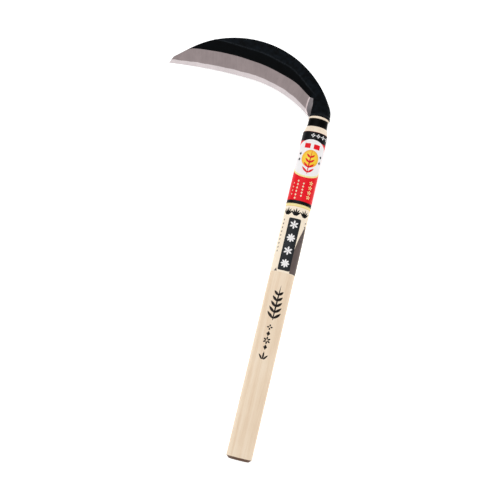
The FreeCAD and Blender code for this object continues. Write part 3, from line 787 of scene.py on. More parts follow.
@dataclass
class Forging:
    """Blade, neck, flange and tang in one forging, and the hard steel laid into its back."""

    seat_y: float = 396.4
    set_angle: float = 2.64
    back: float = -2.5
    lip: float = 0.27
    land: float = 0.7
    full: float = 2.5
    spine_drop: float = 0.3
    tip: Spot = (-189.95, 31.32)
    corner: Spot = (-186.2, 39.7)
    nose: Spot = (-171.0, 52.1)
    heel: Spot = (-12.6, 0.9)
    seat_radius: float = 92.0
    flange_left: float = -11.7
    flange_right: float = 12.7
    spine_radius: float = 115.2
    spine_joint: Spot = (-43.2, 67.2)
    nape: Spot = (9.7, 14.3)
    spine_foot: Spot = (12.0, 1.0)
    neck_crest: Spot = (-12.2, 22.8)
    neck_foot: Spot = (-11.05, 3.0)
    steel_width: float = 18.0
    steel_top: float = -1.6
    steps_along: int = 130
    steps_top: int = 6
    steps_neck: int = 22
    steps_rim: int = 7
    steps_across: int = 24
    ridge_column: int = 12
    tang_root: Spot = (12.0, 6.5)
    tang_tip: Spot = (6.0, 4.0)
    tang_length: float = 75.0
    pin_hole: float = 4.1
    pin_drop: float = 44.0
    hammer_deep: float = 0.07
    hammer_fine: float = 0.025
    weld_deep: float = 0.07
    weld_fine: float = 0.03
    steel_start: float = -112.0
    steel_floor: float = -6.0
    steel_steps: int = 170
    front_z: float = -2.4
    # Width of the painted highlight along the ridge.
    ridge_highlight_width: float = 0.7
    # Width of the painted highlight along the heel facet's line.
    facet_line_highlight_width: float = 0.55
    plan: BladePlan = field(default_factory=BladePlan)
    bevel: tuple[Spot, ...] = ((-79.8, 19.2), (-74.6, 20.7), (-63.9, 21.6), (-53.2, 21.9), (-42.6, 22.3),
                               (-32, 22.2), (-21.2, 22.1), (-10.4, 21.4), (0.3, 20.8), (10.1, 20.2),
                               (19.8, 19.5), (29.6, 19.0), (39.4, 19.0), (49.2, 18.8), (59.1, 17.3),
                               (69.4, 16.2))
    ridge_run: tuple[Spot, ...] = ((-80, 14.2), (-56.3, 14.7), (-33, 13.5), (-21.4, 12.8), (-9.9, 13.0),
                                   (1.4, 13.2), (11.4, 12.8), (21.3, 12.1), (31.3, 12.2), (41.4, 10.4),
                                   (51.3, 7.8), (61.7, 6.7), (69.4, 6.0), (90, 6.0))
    half_depth: tuple[Spot, ...] = ((-1, 9.05), (1.7, 9.05), (2.1, 8.95), (2.45, 8.6), (2.8, 8.1),
                                    (3.4, 7.75), (5.5, 6.9), (9, 6.0), (18, 4.3), (30, 3.1), (42, 2.5))
    wall_top: tuple[Spot, ...] = ((-1, 0.0), (2.2, 0.0), (3.0, 0.15), (7, 0.9), (15, 1.6), (22.8, 1.9))
    wall_low: tuple[Spot, ...] = ((-1, 0.0), (2.2, 0.0), (3.0, -1.0), (7, -2.3), (9, -2.5), (22.8, -2.5))

    @property
    def place(self) -> Matrix:
        """Where the blade's frame lies in the sickle's."""
        turn = Matrix.Rotation(math.radians(-self.set_angle), 4, "Y")
        return Matrix.Translation((0.0, self.seat_y, 0.0)) @ turn

    def crown(self, x: float) -> float:
        """Height of the hollow seat under the flange."""
        return math.sqrt(self.seat_radius ** 2 - x * x) - self.seat_radius

    def spine(self) -> Line:
        """Draw the back of the blade from the nose to the seat."""
        corners = (self.nose, self.spine_joint, self.nape, self.spine_foot)
        nose, joint, nape, foot = (Vector(corner) for corner in corners)
        chord = joint - nose
        side = Vector((chord.y, -chord.x)).normalized()
        drop = math.sqrt(self.spine_radius ** 2 - (chord.length / 2) ** 2)
        centre = nose + chord / 2 + side * drop
        found = arc(centre, nose, joint, 70)
        for start, end, steps in ((joint, nape, 40), (nape, foot, 10)):
            out = (start - centre).normalized()
            reach = end - start
            radius = -reach.length_squared / (2 * reach.dot(out))
            centre = start - out * radius
            found += arc(centre, start, end, steps)[1:]
        kept = [spot for spot in found if spot.y > 3.1 or spot.x < 0]
        right = self.flange_right
        rim = [(12.0, 2.9), (12.25, 2.5), (12.58, 2.2), (right, 1.8), (right, self.crown(right))]
        return Line([*kept, *rim])

    def ground(self, x: float, y: float) -> float:
        """Height of the ground bevel at a point."""
        along, inwards = self.plan.place_of(x, y)
        return lerp(self.back + self.lip, self.land, min(1.0, inwards / through(self.bevel, along)))

    def columns(self, ridge: float, neck: float) -> list[float]:
        """Share out a row's points, with one on the ridge; towards the neck they crowd to both sides."""
        middle = min(ridge, 0.93)
        shares = []
        for j in range(self.steps_across + 1):
            if j <= self.ridge_column:
                part = j / self.ridge_column
                shares.append(middle * lerp(part, 1 - math.cos(part * math.pi / 2), neck))
            else:
                part = (j - self.ridge_column) / (self.steps_across - self.ridge_column)
                shares.append(middle + (1 - middle) * lerp(part, math.sin(part * math.pi / 2), neck))
        return shares

    def blade_top(self, share: float, ridge: float) -> float:
        """Height across the black face: up from the bevel to the ridge, then nearly level."""
        if share <= ridge:
            return lerp(self.land, self.full, share / ridge)
        return self.full - self.spine_drop * (share - ridge) / (1 - ridge)

    def body_rows(self) -> tuple[Grid, Grid]:
        """Lay out the black face and the neck: rows from bevel to spine, upper side and lower side."""
        spine = self.spine()
        table = [(self.plan.place_of(p.x, p.y)[0], length) for p, length in zip(spine.points, spine.lengths)
                 if p.y > 30]
        crest_share = self.share_near(spine, (-1.5, 33.5))
        foot_share = self.share_near(spine, (12.0, 2.9))
        first, last = self.bevel[0][0], self.bevel[-1][0]
        plan_rows = []
        for i in range(self.steps_along + 1):
            along = lerp(first, last, i / self.steps_along)
            inner = self.plan.spot(along, through(self.bevel, along))
            outer = spine.at(self.read(table, along) / spine.length)
            neck = 0.45 * smooth(30, last + 6, along)
            plan_rows.append((inner, outer, neck, self.land, self.back, along))
        top_inner, top_outer = plan_rows[-1][0], plan_rows[-1][1]
        top_share = self.share_near(spine, top_outer)
        crest = Vector(self.neck_crest)
        for i in range(1, self.steps_top + 1):
            part = i / self.steps_top
            wall = lerp(self.land, through(self.wall_top, crest.y), part)
            plan_rows.append((top_inner.lerp(crest, part), spine.at(lerp(top_share, crest_share, part)),
                              lerp(plan_rows[self.steps_along][2], 0.55, part), wall, self.back, last))
        inside = Line.curved([self.neck_crest, (-11.0, 15.7), (-11.1, 11.4), (-11.2, 6.9), self.neck_foot])
        left = self.flange_left
        rim = Line([self.neck_foot, (-11.3, 2.55), (-11.6, 2.2), (left, 1.8), (left, self.crown(left))])
        for line, steps, start, end, half_grown in ((inside, self.steps_neck, crest_share, foot_share, 0.5),
                                                    (rim, self.steps_rim, foot_share, 1.0, 0.0)):
            for i in range(1, steps + 1):
                part = i / steps
                inner = line.at(part)
                neck = lerp(0.55, 1.0, smooth(0, half_grown, part)) if half_grown else 1.0
                plan_rows.append((inner, spine.at(lerp(start, end, part)), neck,
                                  through(self.wall_top, inner.y), through(self.wall_low, inner.y), last))
        upper, lower = [], []
        count = len(plan_rows)
        for number, (inner, outer, neck, wall, low, along) in enumerate(plan_rows):
            width = max((outer - inner).length, 0.01)
            ridge = lerp(through(self.ridge_run, along) / width, 0.5, smooth(0.4, 0.9, neck))
            depth = through(self.half_depth, (inner.y + outer.y) / 2)
            last_row = number >= count - self.steps_rim
            top_row, low_row = [], []
            for share in self.columns(ridge, neck):
                spot = inner.lerp(outer, share)
                if neck >= 0.999:
                    bow = smooth(9.0, 2.0, (inner.y + outer.y) / 2) if not last_row else 1.0
                    level = lerp(self.crown(inner.x), self.crown(outer.x), share)
                    spot.y += (self.crown(spot.x) - level) * bow
                swell = math.sqrt(max(0.0, 1 - (2 * share - 1) ** 2))
                round_top = wall * (1 - share) + (depth - wall / 2) * swell
                round_low = low * (1 - share) - (depth + low / 2) * swell
                top = lerp(self.blade_top(share, ridge), round_top, neck) if neck < 1 else round_top
                bottom = lerp(self.back, round_low, neck)
                if share == 0.0:
                    top, bottom = wall, low
                hammer = noise.noise(Vector((spot.x / 8, spot.y / 8, 3.0))) * self.hammer_deep
                hammer += noise.noise(Vector((spot.x / 3, spot.y / 3, 9.0))) * self.hammer_fine
                top += hammer * swell * (0.0 if last_row else 1.0)
                top_row.append(Vector((spot.x, spot.y, top)))
                low_row.append(Vector((spot.x, spot.y, min(bottom, top))))
            upper.append(top_row)
            lower.append(low_row)
        return upper, lower

    @staticmethod
    def share_near(line: Line, spot: Sequence[float]) -> float:
        """Find the share of a line's length at its point nearest to a spot."""
        best = min(range(len(line.points)), key=lambda k: (line.points[k] - Vector(spot)).length)
        return line.lengths[best] / line.length

    @staticmethod
    def read(table: Sequence[tuple[float, float]], place: float) -> float:
        """Read a table of rising places in straight steps."""
        for (x0, y0), (x1, y1) in zip(table, table[1:]):
            if place <= x1:
                return lerp(y0, y1, max(0.0, (place - x0) / (x1 - x0)))
        return table[-1][1]

    def side(self, body: Grid, ground: Callable[[float, float], float], edge_z: float) -> tuple[Grid, Grid]:
        """Fill the ground bevel and the heel's facet to match one side of the body's rows.

        Args:
            body: The black face's rows on this side.
            ground: Height of the bevel's two end sides at a point.
            edge_z: Height along the cutting edge.

        Returns:
            Rows of the bevel from edge to black face, and rows of the facet from its top down.
        """
        n1, n2, n3 = self.steps_along, self.steps_top, self.steps_neck
        high = [row[0] for row in body[:n1 + 1]]
        first = self.plan.place_of(*self.tip)[0]
        last = self.plan.place_of(*self.heel)[0]
        low = []
        for i in range(n1 + 1):
            spot = self.plan.spot(lerp(first, last, i / n1), 0.0)
            low.append(Vector((spot.x, spot.y, edge_z)))
        tip_line = Line([low[0].to_2d(), self.corner, self.nose])
        heel_line = self.heel_line()
        left, right = [], []
        for j in range(n3 + 1):
            for line, found in ((tip_line, left), (heel_line, right)):
                spot = line.at(j / n3)
                found.append(Vector((spot.x, spot.y, ground(spot.x, spot.y))))
        left[0], left[-1], right[0], right[-1] = low[0], high[0], low[-1], high[-1]
        bevel = coons(low, high, left, right)
        top = [row[0] for row in body[n1:n1 + n2 + 1]]
        inside = [row[0] for row in body[n1 + n2:n1 + n2 + n3 + 1]]
        foot = [low[-1].lerp(inside[-1], i / n2) for i in range(n2 + 1)]
        facet = coons(top, foot, right[::-1], inside)
        return bevel, facet

    def heel_line(self) -> Line:
        """Draw the line between the ground bevel and the facet at its heel."""
        along, inwards = self.bevel[-1]
        return Line.curved([self.heel, (-15.0, 3.5), (-17.5, 8.4), (-17.6, 13.8), (-17.2, 19.9),
                            tuple(self.plan.spot(along, inwards))])

    def whole(self, finishes: Sequence[bpy.types.Material]) -> bpy.types.Object:
        """Build iron and steel together, before they are parted, with the tang joined on."""
        skin = Skin()
        upper, lower = self.body_rows()
        loops = []
        for body, up in ((upper, True), (lower, False)):
            if up:
                bevel, facet = self.side(body, self.ground, self.back + self.lip)
            else:
                bevel, facet = self.side(body, lambda x, y: self.back, self.back)
            bevel_rows = [skin.row(row) for row in bevel]
            facet_rows = [skin.row(row) for row in facet]
            body_rows = [skin.row(row) for row in body]
            skin.grid(bevel_rows, slot=1 if up else 0, flipped=not up)
            skin.grid(facet_rows, slot=2 if up else 0, flipped=up)
            skin.grid(body_rows, slot=0, flipped=up)
            below = self.steps_along + self.steps_top + self.steps_neck
            loops.append([*bevel_rows[0], *facet_rows[-1][1:], *(row[0] for row in body_rows[below + 1:]),
                          *body_rows[-1][1:], *(row[-1] for row in body_rows[-2:0:-1]),
                          *(row[0] for row in bevel_rows[:0:-1])])
        skin.strip(loops[1], loops[0], slot=0, closed=True)
        made = skin.build("forging", finishes, self.place)
        tang = taper(self.tang_root, self.tang_tip, 1.2, -self.tang_length, "tang", self.place)
        carve(made, tang, Cut.JOINED)
        carve(made, rod(self.pin_hole, 12.0, self.seat_y - self.pin_drop, "pin_way"), Cut.AWAY)
        return made

    def steel_room(self) -> bpy.types.Object:
        """Make the space of the hard steel, with the slightly wandering weld line as its upper side."""
        skin = Skin()
        tops, bottoms = [], []
        plan = self.plan
        columns = []
        for inwards in (-6.0, 2.0, 3.5, 4.2, 5.0, 7.0, 12.0, self.steel_width):
            end = math.asin((self.heel[0] - plan.near_centre[0]) / (plan.near_radius + inwards))
            columns.append((inwards, (end - plan.lean) * plan.near_radius))
        for i in range(self.steel_steps + 1):
            top_row, low_row = [], []
            for inwards, last in columns:
                along = lerp(self.steel_start, last, i / self.steel_steps)
                spot = plan.spot(along, inwards)
                wander = noise.noise(Vector((along / 9, 0.0, 5.0))) * self.weld_deep
                wander += noise.noise(Vector((along / 2.5, 1.0, 7.0))) * self.weld_fine
                top_row.append((spot.x, spot.y, self.steel_top + wander))
                low_row.append((spot.x, spot.y, self.steel_floor))
            tops.append(skin.row(top_row))
            bottoms.append(skin.row(low_row))
        skin.grid(tops, flipped=True)
        skin.grid(bottoms)
        ends = [[*(row[0] for row in rows), *rows[-1][1:], *(row[-1] for row in rows[-2::-1]),
                 *rows[0][-2:0:-1]] for rows in (tops, bottoms)]
        skin.strip(ends[0], ends[1], closed=True)
        return skin.build("steel_room", [], self.place)

    def mark(self, made: bpy.types.Object) -> None:
        """Write what the finishes read: place along and in from the edge, the band of painted shade, and
        the painted highlights on the ridge, the flange rim and the heel facet's line.
        """
        back = self.place.inverted()

        def carry_as(name: str, use: Callable[[float, float, Vector], float]) -> None:
            """Write one number, worked out from the place along, the place inwards and the point."""
            def measure(spot: Vector) -> float:
                """Read it at one point."""
                local = back @ spot
                return use(*self.plan.place_of(local.x, local.y), local)
            carry(made, name, measure)

        def past_ridge(along: float, inwards: float) -> float:
            """Find how far beyond the ridge a place lies."""
            return inwards - through(self.bevel, along) - through(self.ridge_run, along)

        def front(local: Vector) -> float:
            """Tell the front from the flat back, 1 or 0 with a soft step between."""
            return smooth(self.front_z, self.front_z + 0.2, local.z)

        def band(along: float, inwards: float, local: Vector) -> float:
            """Mark the band between bevel and ridge, on the front only, where shade is painted darker."""
            return smooth(0.5, -0.5, past_ridge(along, inwards)) * smooth(74, 66, along) * front(local)

        def wear_and_highlight(along: float, inwards: float, local: Vector) -> float:
            """Mark the painted highlight on the ridge and on the rim of the flange."""
            off = past_ridge(along, inwards) / self.ridge_highlight_width
            worn = math.exp(-off ** 2) * smooth(76, 60, along) * front(local)
            rim = 0.8 if 1.2 < local.y < 2.7 and local.x > -12 else 0.0
            return max(worn, rim)

        def line(along: float, inwards: float, local: Vector) -> float:
            """Mark the painted highlight along the line where the facet at the heel begins."""
            if local.x < -24 or local.y > 26 or local.z < self.front_z:
                return 0.0
            gap = min((local.to_2d() - spot).length for spot in heel_spots)
            return math.exp(-(gap / self.facet_line_highlight_width) ** 2)

        heel_spots = self.heel_line().points
        carry_as("line", line)
        carry_as("along", lambda along, inwards, local: along)
        carry_as("inwards", lambda along, inwards, local: inwards)
        carry_as("band", band)
        carry_as("wear_and_highlight", wear_and_highlight)

    def build(self, scale: bpy.types.Material, ground: bpy.types.Material, facet: bpy.types.Material,
              steel: bpy.types.Material) -> list[bpy.types.Object]:
        """Make both pieces of the blade.

        Args:
            scale: Finish of the black faces.
            ground: Finish of the ground iron.
            facet: Finish of the facet at the heel.
            steel: Finish of the hard steel.

        Returns:
            The iron and the steel.
        """
        iron = self.whole([scale, ground, facet])
        edge = iron.copy()
        edge.data = iron.data.copy()
        edge.name = edge.data.name = "visual_edge_steel"
        iron.name = iron.data.name = "visual_blade"
        bpy.context.scene.collection.objects.link(edge)
        carve(iron, self.steel_room(), Cut.AWAY)
        carve(edge, self.steel_room(), Cut.SHARED)
        edge.data.materials.clear()
        edge.data.materials.append(steel)
        edge.data.polygons.foreach_set("material_index", [0] * len(edge.data.polygons))
        for piece in (iron, edge):
            self.mark(piece)
        return [iron, edge]


# --- handle, ring and sleeves -----------------------------------------------------------------


@dataclass
class Handle:
    """The oval wooden handle with its slot for the tang and the groove that the ring sits in."""

    butt_chamfer: float = 3.0
    full_y: float = 376.2
    ring_foot_y: float = 383.6
    ring_top_y: float = 393.7
    seat_y: float = 396.4
    seat_radius: float = 92.0
    shoulder_step: float = 1.95
    groove_step: float = 3.77
    collar_step: float = 2.15
    slot_room: float = 0.3
    section: Oval = field(default_factory=lambda: Oval(14.15, 11.0))

    def crown(self, x: float) -> float:
        """Height of the rounded head."""
        return self.seat_y - self.seat_radius + math.sqrt(self.seat_radius ** 2 - x * x)

    def build(self, wood: bpy.types.Material, blade: Forging) -> bpy.types.Object:
        """Make the handle.

        Args:
            wood: Its finish.
            blade: The forging, for the slot and the pin's hole.

        Returns:
            The handle.
        """
        skin = Skin()
        cham = self.butt_chamfer
        profile = [(0.0, cham + 0.35), (0.08, cham + 0.06), (0.22, cham - 0.16), (cham - 0.25, 0.2),
                   (cham, 0.06), (cham + 0.35, 0.0), (90.0, 0.0), (180.0, 0.0), (280.0, 0.0),
                   (self.full_y - 0.6, 0.0), (self.full_y, 0.04), (self.full_y + 0.5, 0.14),
                   (self.ring_foot_y - 0.3, self.shoulder_step - 0.02),
                   (self.ring_foot_y, self.shoulder_step + 0.22), (self.ring_foot_y, self.groove_step),
                   (self.ring_top_y, self.groove_step), (self.ring_top_y, self.collar_step + 0.25),
                   (self.ring_top_y + 0.25, self.collar_step)]
        rows = [self.section.ring(skin, 0.0, cham + 0.35, scale) for scale in (0.3, 0.6, 0.85)]
        rows += [self.section.ring(skin, y, step) for y, step in profile]
        rows.append(self.section.ring(skin, lambda x: self.crown(x) - 0.25, self.collar_step))
        rows.append(self.section.ring(skin, self.crown, self.collar_step + 0.25))
        for scale in (0.97, 0.8, 0.6, 0.4, 0.2):
            rows.append(self.section.ring(skin, self.crown, self.collar_step + 0.25, scale))
        skin.tube(rows)
        for ring, y in ((rows[0], 0.0), (rows[-1], self.seat_y)):
            hub = skin.row([(0.0, y, 0.0)])[0]
            for index, corner in enumerate(ring):
                skin.face((ring[index - 1], corner, hub))
        made = skin.build("visual_handle", [wood])
        room = self.slot_room
        (root_x, root_z), (tip_x, tip_z) = blade.tang_root, blade.tang_tip
        slot = taper((root_x + room + 0.1, root_z + room + 0.05), (tip_x + room, tip_z + room), 3.0,
                     -blade.tang_length - 2.0, "slot", blade.place)
        carve(made, slot, Cut.AWAY)
        carve(made, rod(blade.pin_hole, 14.0, blade.seat_y - blade.pin_drop, "pin_way"), Cut.AWAY)
        return made


@dataclass
class Ring:
    """The black ferrule ring, slightly tapered, with rounded rims."""

    foot_step: float = 2.45
    top_step: float = 2.85
    bore_step: float = 3.75
    clear: float = 0.02
    rounding: float = 0.35
    bulge: float = 0.05

    def build(self, handle: Handle, paint: bpy.types.Material) -> bpy.types.Object:
        """Make the ring in the handle's groove."""
        skin = Skin()
        low, high = handle.ring_foot_y + self.clear, handle.ring_top_y - self.clear
        profile = [(low, self.bore_step), (low, self.foot_step + self.rounding)]

        def rounded(y: float, step: float, inwards: float, turns: Iterable[int]) -> None:
            """Add points round one rim."""
            for turn in turns:
                lean = math.radians(turn)
                profile.append((y + inwards * self.rounding * (1 - math.cos(lean)),
                                step + self.rounding * (1 - math.sin(lean))))

        rounded(low, self.foot_step, 1.0, (30, 60, 90))
        for part in (0.25, 0.5, 0.75):
            hollow = self.bulge * (1 - math.sin(part * math.pi))
            profile.append((lerp(low, high, part), lerp(self.foot_step, self.top_step, part) + hollow))
        rounded(high, self.top_step, -1.0, (90, 60, 30, 0))
        profile.append((high, self.bore_step))
        rows = [handle.section.ring(skin, y, step) for y, step in profile]
        skin.tube(rows, looped=True)
        made = skin.build("visual_ring", [paint], sharp=40)
        middle = (low + high) / 2
        carry(made, "wear_and_highlight", lambda spot: smooth(4.55, 4.85, abs(spot.y - middle)) * 0.5)
        return made


@dataclass
class Sleeve:
    """One printed sleeve round the handle; its paper is a hair thinner than its allowance, for the inks."""

    name: str
    low: float
    high: float
    section: Oval = field(default_factory=lambda: Oval(14.34, 11.19))
    wall: float = 0.14
    edge: float = 0.05

    def build(self, paper: bpy.types.Material) -> bpy.types.Object:
        """Make the sleeve."""
        skin = Skin()
        edge = self.edge
        profile = [(self.low, self.wall), (self.low, edge), (self.low + edge, 0.0), (self.high - edge, 0.0),
                   (self.high, edge), (self.high, self.wall)]
        rows = [self.section.ring(skin, y, step) for y, step in profile]
        skin.tube(rows, looped=True)
        return skin.build(self.name, [paper])


# --- printing ---------------------------------------------------------------------------------

Outline = list[Spot]
Shape = list[Outline]


def bar(left: float, right: float, low: float, high: float, corner: float = 0.0) -> Shape:
    """Draw an upright box, with rounded corners if asked."""
    if not corner:
        return [[(left, low), (right, low), (right, high), (left, high)]]
    found = []
    for x, y, first in ((right - corner, high - corner, 0), (left + corner, high - corner, 90),
                        (left + corner, low + corner, 180), (right - corner, low + corner, 270)):
        for turn in range(first, first + 91, 15):
            lean = math.radians(turn)
            found.append((x + corner * math.cos(lean), y + corner * math.sin(lean)))
    return [found]


def disc(x: float, y: float, half_width: float, half_height: float, sides: int = 72) -> Shape:
    """Draw an ellipse."""
    turns = [2 * math.pi * k / sides for k in range(sides)]
    return [[(x + half_width * math.cos(turn), y + half_height * math.sin(turn)) for turn in turns]]


def lozenge(x: float, y: float, half_width: float, half_height: float) -> Shape:
    """Draw a diamond with slightly hollow sides."""
    found = []
    for k in range(16):
        turn = 2 * math.pi * k / 16
        pull = 1.0 if k % 4 == 0 else (0.66 if k % 2 == 0 else 0.76)
        found.append((x + half_width * pull * math.cos(turn), y + half_height * pull * math.sin(turn)))
    return [found]


def blade_of_grass(x: float, y: float, length: float, lean: float, width: float, bend: float) -> Shape:
    """Draw one curved leaf that swells and ends in a point.

    Args:
        x: Its foot.
        y: Its foot.
        length: From foot to tip.
        lean: Angle from upright in degrees, towards +x.
        width: At its widest.
        bend: Sideways bow as a share of its length.

    Returns:
        The leaf.
    """
    turn = math.radians(lean)
    ahead = Vector((math.sin(turn), math.cos(turn)))
    aside = Vector((math.cos(turn), -math.sin(turn)))
    sides: tuple[list[Spot], list[Spot]] = ([], [])
    for k in range(13):
        share = k / 12
        spine = Vector((x, y)) + ahead * length * share + aside * bend * length * share * share
        half = width / 2 * math.sin(math.pi * min(0.999, 0.12 + share * 0.88)) ** 0.8
        along = (ahead + aside * 2 * bend * share).normalized()
        out = Vector((along.y, -along.x)) * half
        sides[0].append(tuple(spine + out))
        sides[1].append(tuple(spine - out))
    return [sides[0] + sides[1][::-1]]


def tuft(x: float, y: float, height: float, spread: float, leaves: int, width: float) -> list[Shape]:
    """Draw a small sheaf of leaves that fan out from one foot."""
    found = []
    for k in range(leaves):
        share = 2 * k / (leaves - 1) - 1 if leaves > 1 else 0.0
        size = height * (1 - 0.22 * abs(share))
        found.append(blade_of_grass(x + share * width * 0.5, y, size, share * spread, width, 0.16 * share))
    return found


def sprig(x: float, low: float, high: float, reach: float, pairs: int, width: float) -> list[Shape]:
    """Draw an upright stem with leaves in pairs that shorten towards its tip."""
    height = high - low
    found = [blade_of_grass(x, low, height, 0.0, width * 0.6, 0.02)]
    for k in range(pairs):
        share = (k + 0.35) / pairs
        size = reach * (1.15 - 0.5 * share)
        for side in (-1, 1):
            foot = low + height * share * 0.82
            found.append(blade_of_grass(x + side * 0.2, foot, size, side * 58, width, -side * 0.18))
    return found


def flower(x: float, y: float, reach: float, petals: int, fat: float = 0.55) -> list[Shape]:
    """Draw a round of petals about an open middle."""
    found = []
    for k in range(petals):
        turn = 2 * math.pi * k / petals
        px, py = x + reach * 0.6 * math.sin(turn), y + reach * 0.6 * math.cos(turn)
        petal = [(px + reach * 0.4 * (math.sin(turn) * math.cos(a) + fat * math.cos(turn) * math.sin(a)),
                  py + reach * 0.4 * (math.cos(turn) * math.cos(a) - fat * math.sin(turn) * math.sin(a)))
                 for a in (2 * math.pi * step / 14 for step in range(14))]
        found.append([petal])
    return found


@dataclass
class Press:
    """Prints flat outlines on an oval as thin films of ink that follow its facets."""

    section: Oval
    thick: float = 0.012
    sunk: float = 0.003

    def __post_init__(self) -> None:
        """Measure the way round the section."""
        self.table = self.section.arc_table()
        self.girth = self.table[-1]

    def wrap(self, across: float, level: float) -> tuple[float, float]:
        """X and Z of a point so far round from the top, so high above the surface."""
        place = across % self.girth
        low, high = 0, len(self.table) - 1
        while high - low > 1:
            middle = (low + high) // 2
            if self.table[middle] <= place:
                low = middle
            else:
                high = middle
        share = (place - self.table[low]) / (self.table[low + 1] - self.table[low])
        one, other = self.section.corner(low, -level), self.section.corner(low + 1, -level)
        return lerp(one[0], other[0], share), lerp(one[1], other[1], share)

    def film(self, name: str, shapes: Iterable[Shape], ink: bpy.types.Material,
             layer: int = 1) -> bpy.types.Object:
        """Print shapes in one ink.

        Args:
            name: Name of the piece.
            shapes: Outlines as places round from the top and up the handle, with holes after each first.
            ink: The ink.
            layer: 1 for ink straight on the surface, more for ink over ink.

        Returns:
            The film.
        """
        thick = self.thick
        work = bmesh.new()
        for shape in shapes:
            self.fill(work, shape)
        reach = [vert.co.x for vert in work.verts]
        for turn in (-1, 0):
            for place in self.table:
                cut = place + turn * self.girth
                if min(reach) < cut < max(reach):
                    parts = [*work.verts, *work.edges, *work.faces]
                    bmesh.ops.bisect_plane(work, geom=parts, plane_co=(cut, 0, 0),
                                           plane_no=(1, 0, 0), dist=1e-5)
        grown = bmesh.ops.extrude_face_region(work, geom=list(work.faces), use_keep_orig=True)
        raised = {part for part in grown["geom"] if isinstance(part, bmesh.types.BMVert)}
        for vert in work.verts:
            level = layer * thick if vert in raised else (layer - 1) * thick - self.sunk
            x, z = self.wrap(vert.co.x, level)
            vert.co = Vector((x, vert.co.y, z)) * MM
        mesh = bpy.data.meshes.new(name)
        bmesh.ops.recalc_face_normals(work, faces=work.faces)
        work.to_mesh(mesh)
        work.free()
        mesh.materials.append(ink)
        made = bpy.data.objects.new(name, mesh)
        bpy.context.scene.collection.objects.link(made)
        shade(made, 30.0)
        return made

    @staticmethod
    def fill(work: bmesh.types.BMesh, shape: Shape) -> None:
        """Add the flat faces of one shape to a mesh."""
        loops = [[Vector((x, y, 0.0)) for x, y in outline] for outline in shape]
        spots = [spot for loop in loops for spot in loop]
        verts = [work.verts.new(spot) for spot in spots]
        for corners in tessellate_polygon(loops):
            one, two, three = (verts[corner] for corner in corners)
            if abs((two.co - one.co).cross(three.co - one.co).z) > 1e-7:
                work.faces.new((one, two, three))


class Tone(Enum):
    """The printer's inks."""

    BLACK = ("black_ink", linear(6, 7, 10), linear(14, 14, 18))
    BRUSH = ("brush_ink", linear(20, 15, 13), linear(44, 34, 30))
    WHITE = ("white_ink", linear(248, 246, 246), linear(238, 235, 236))
    RED = ("red_ink", linear(236, 22, 38), linear(214, 16, 30))
    GOLD = ("gold_ink", linear(246, 240, 172), linear(240, 222, 140))
    AMBER = ("amber_ink", linear(244, 180, 60), linear(230, 160, 50))
    CREAM = ("cream_ink", linear(246, 238, 205), linear(232, 220, 180))
    GREY = ("grey_ink", linear(104, 91, 88), linear(88, 76, 74))
    SLATE = ("slate_ink", linear(38, 42, 46), linear(28, 31, 35))


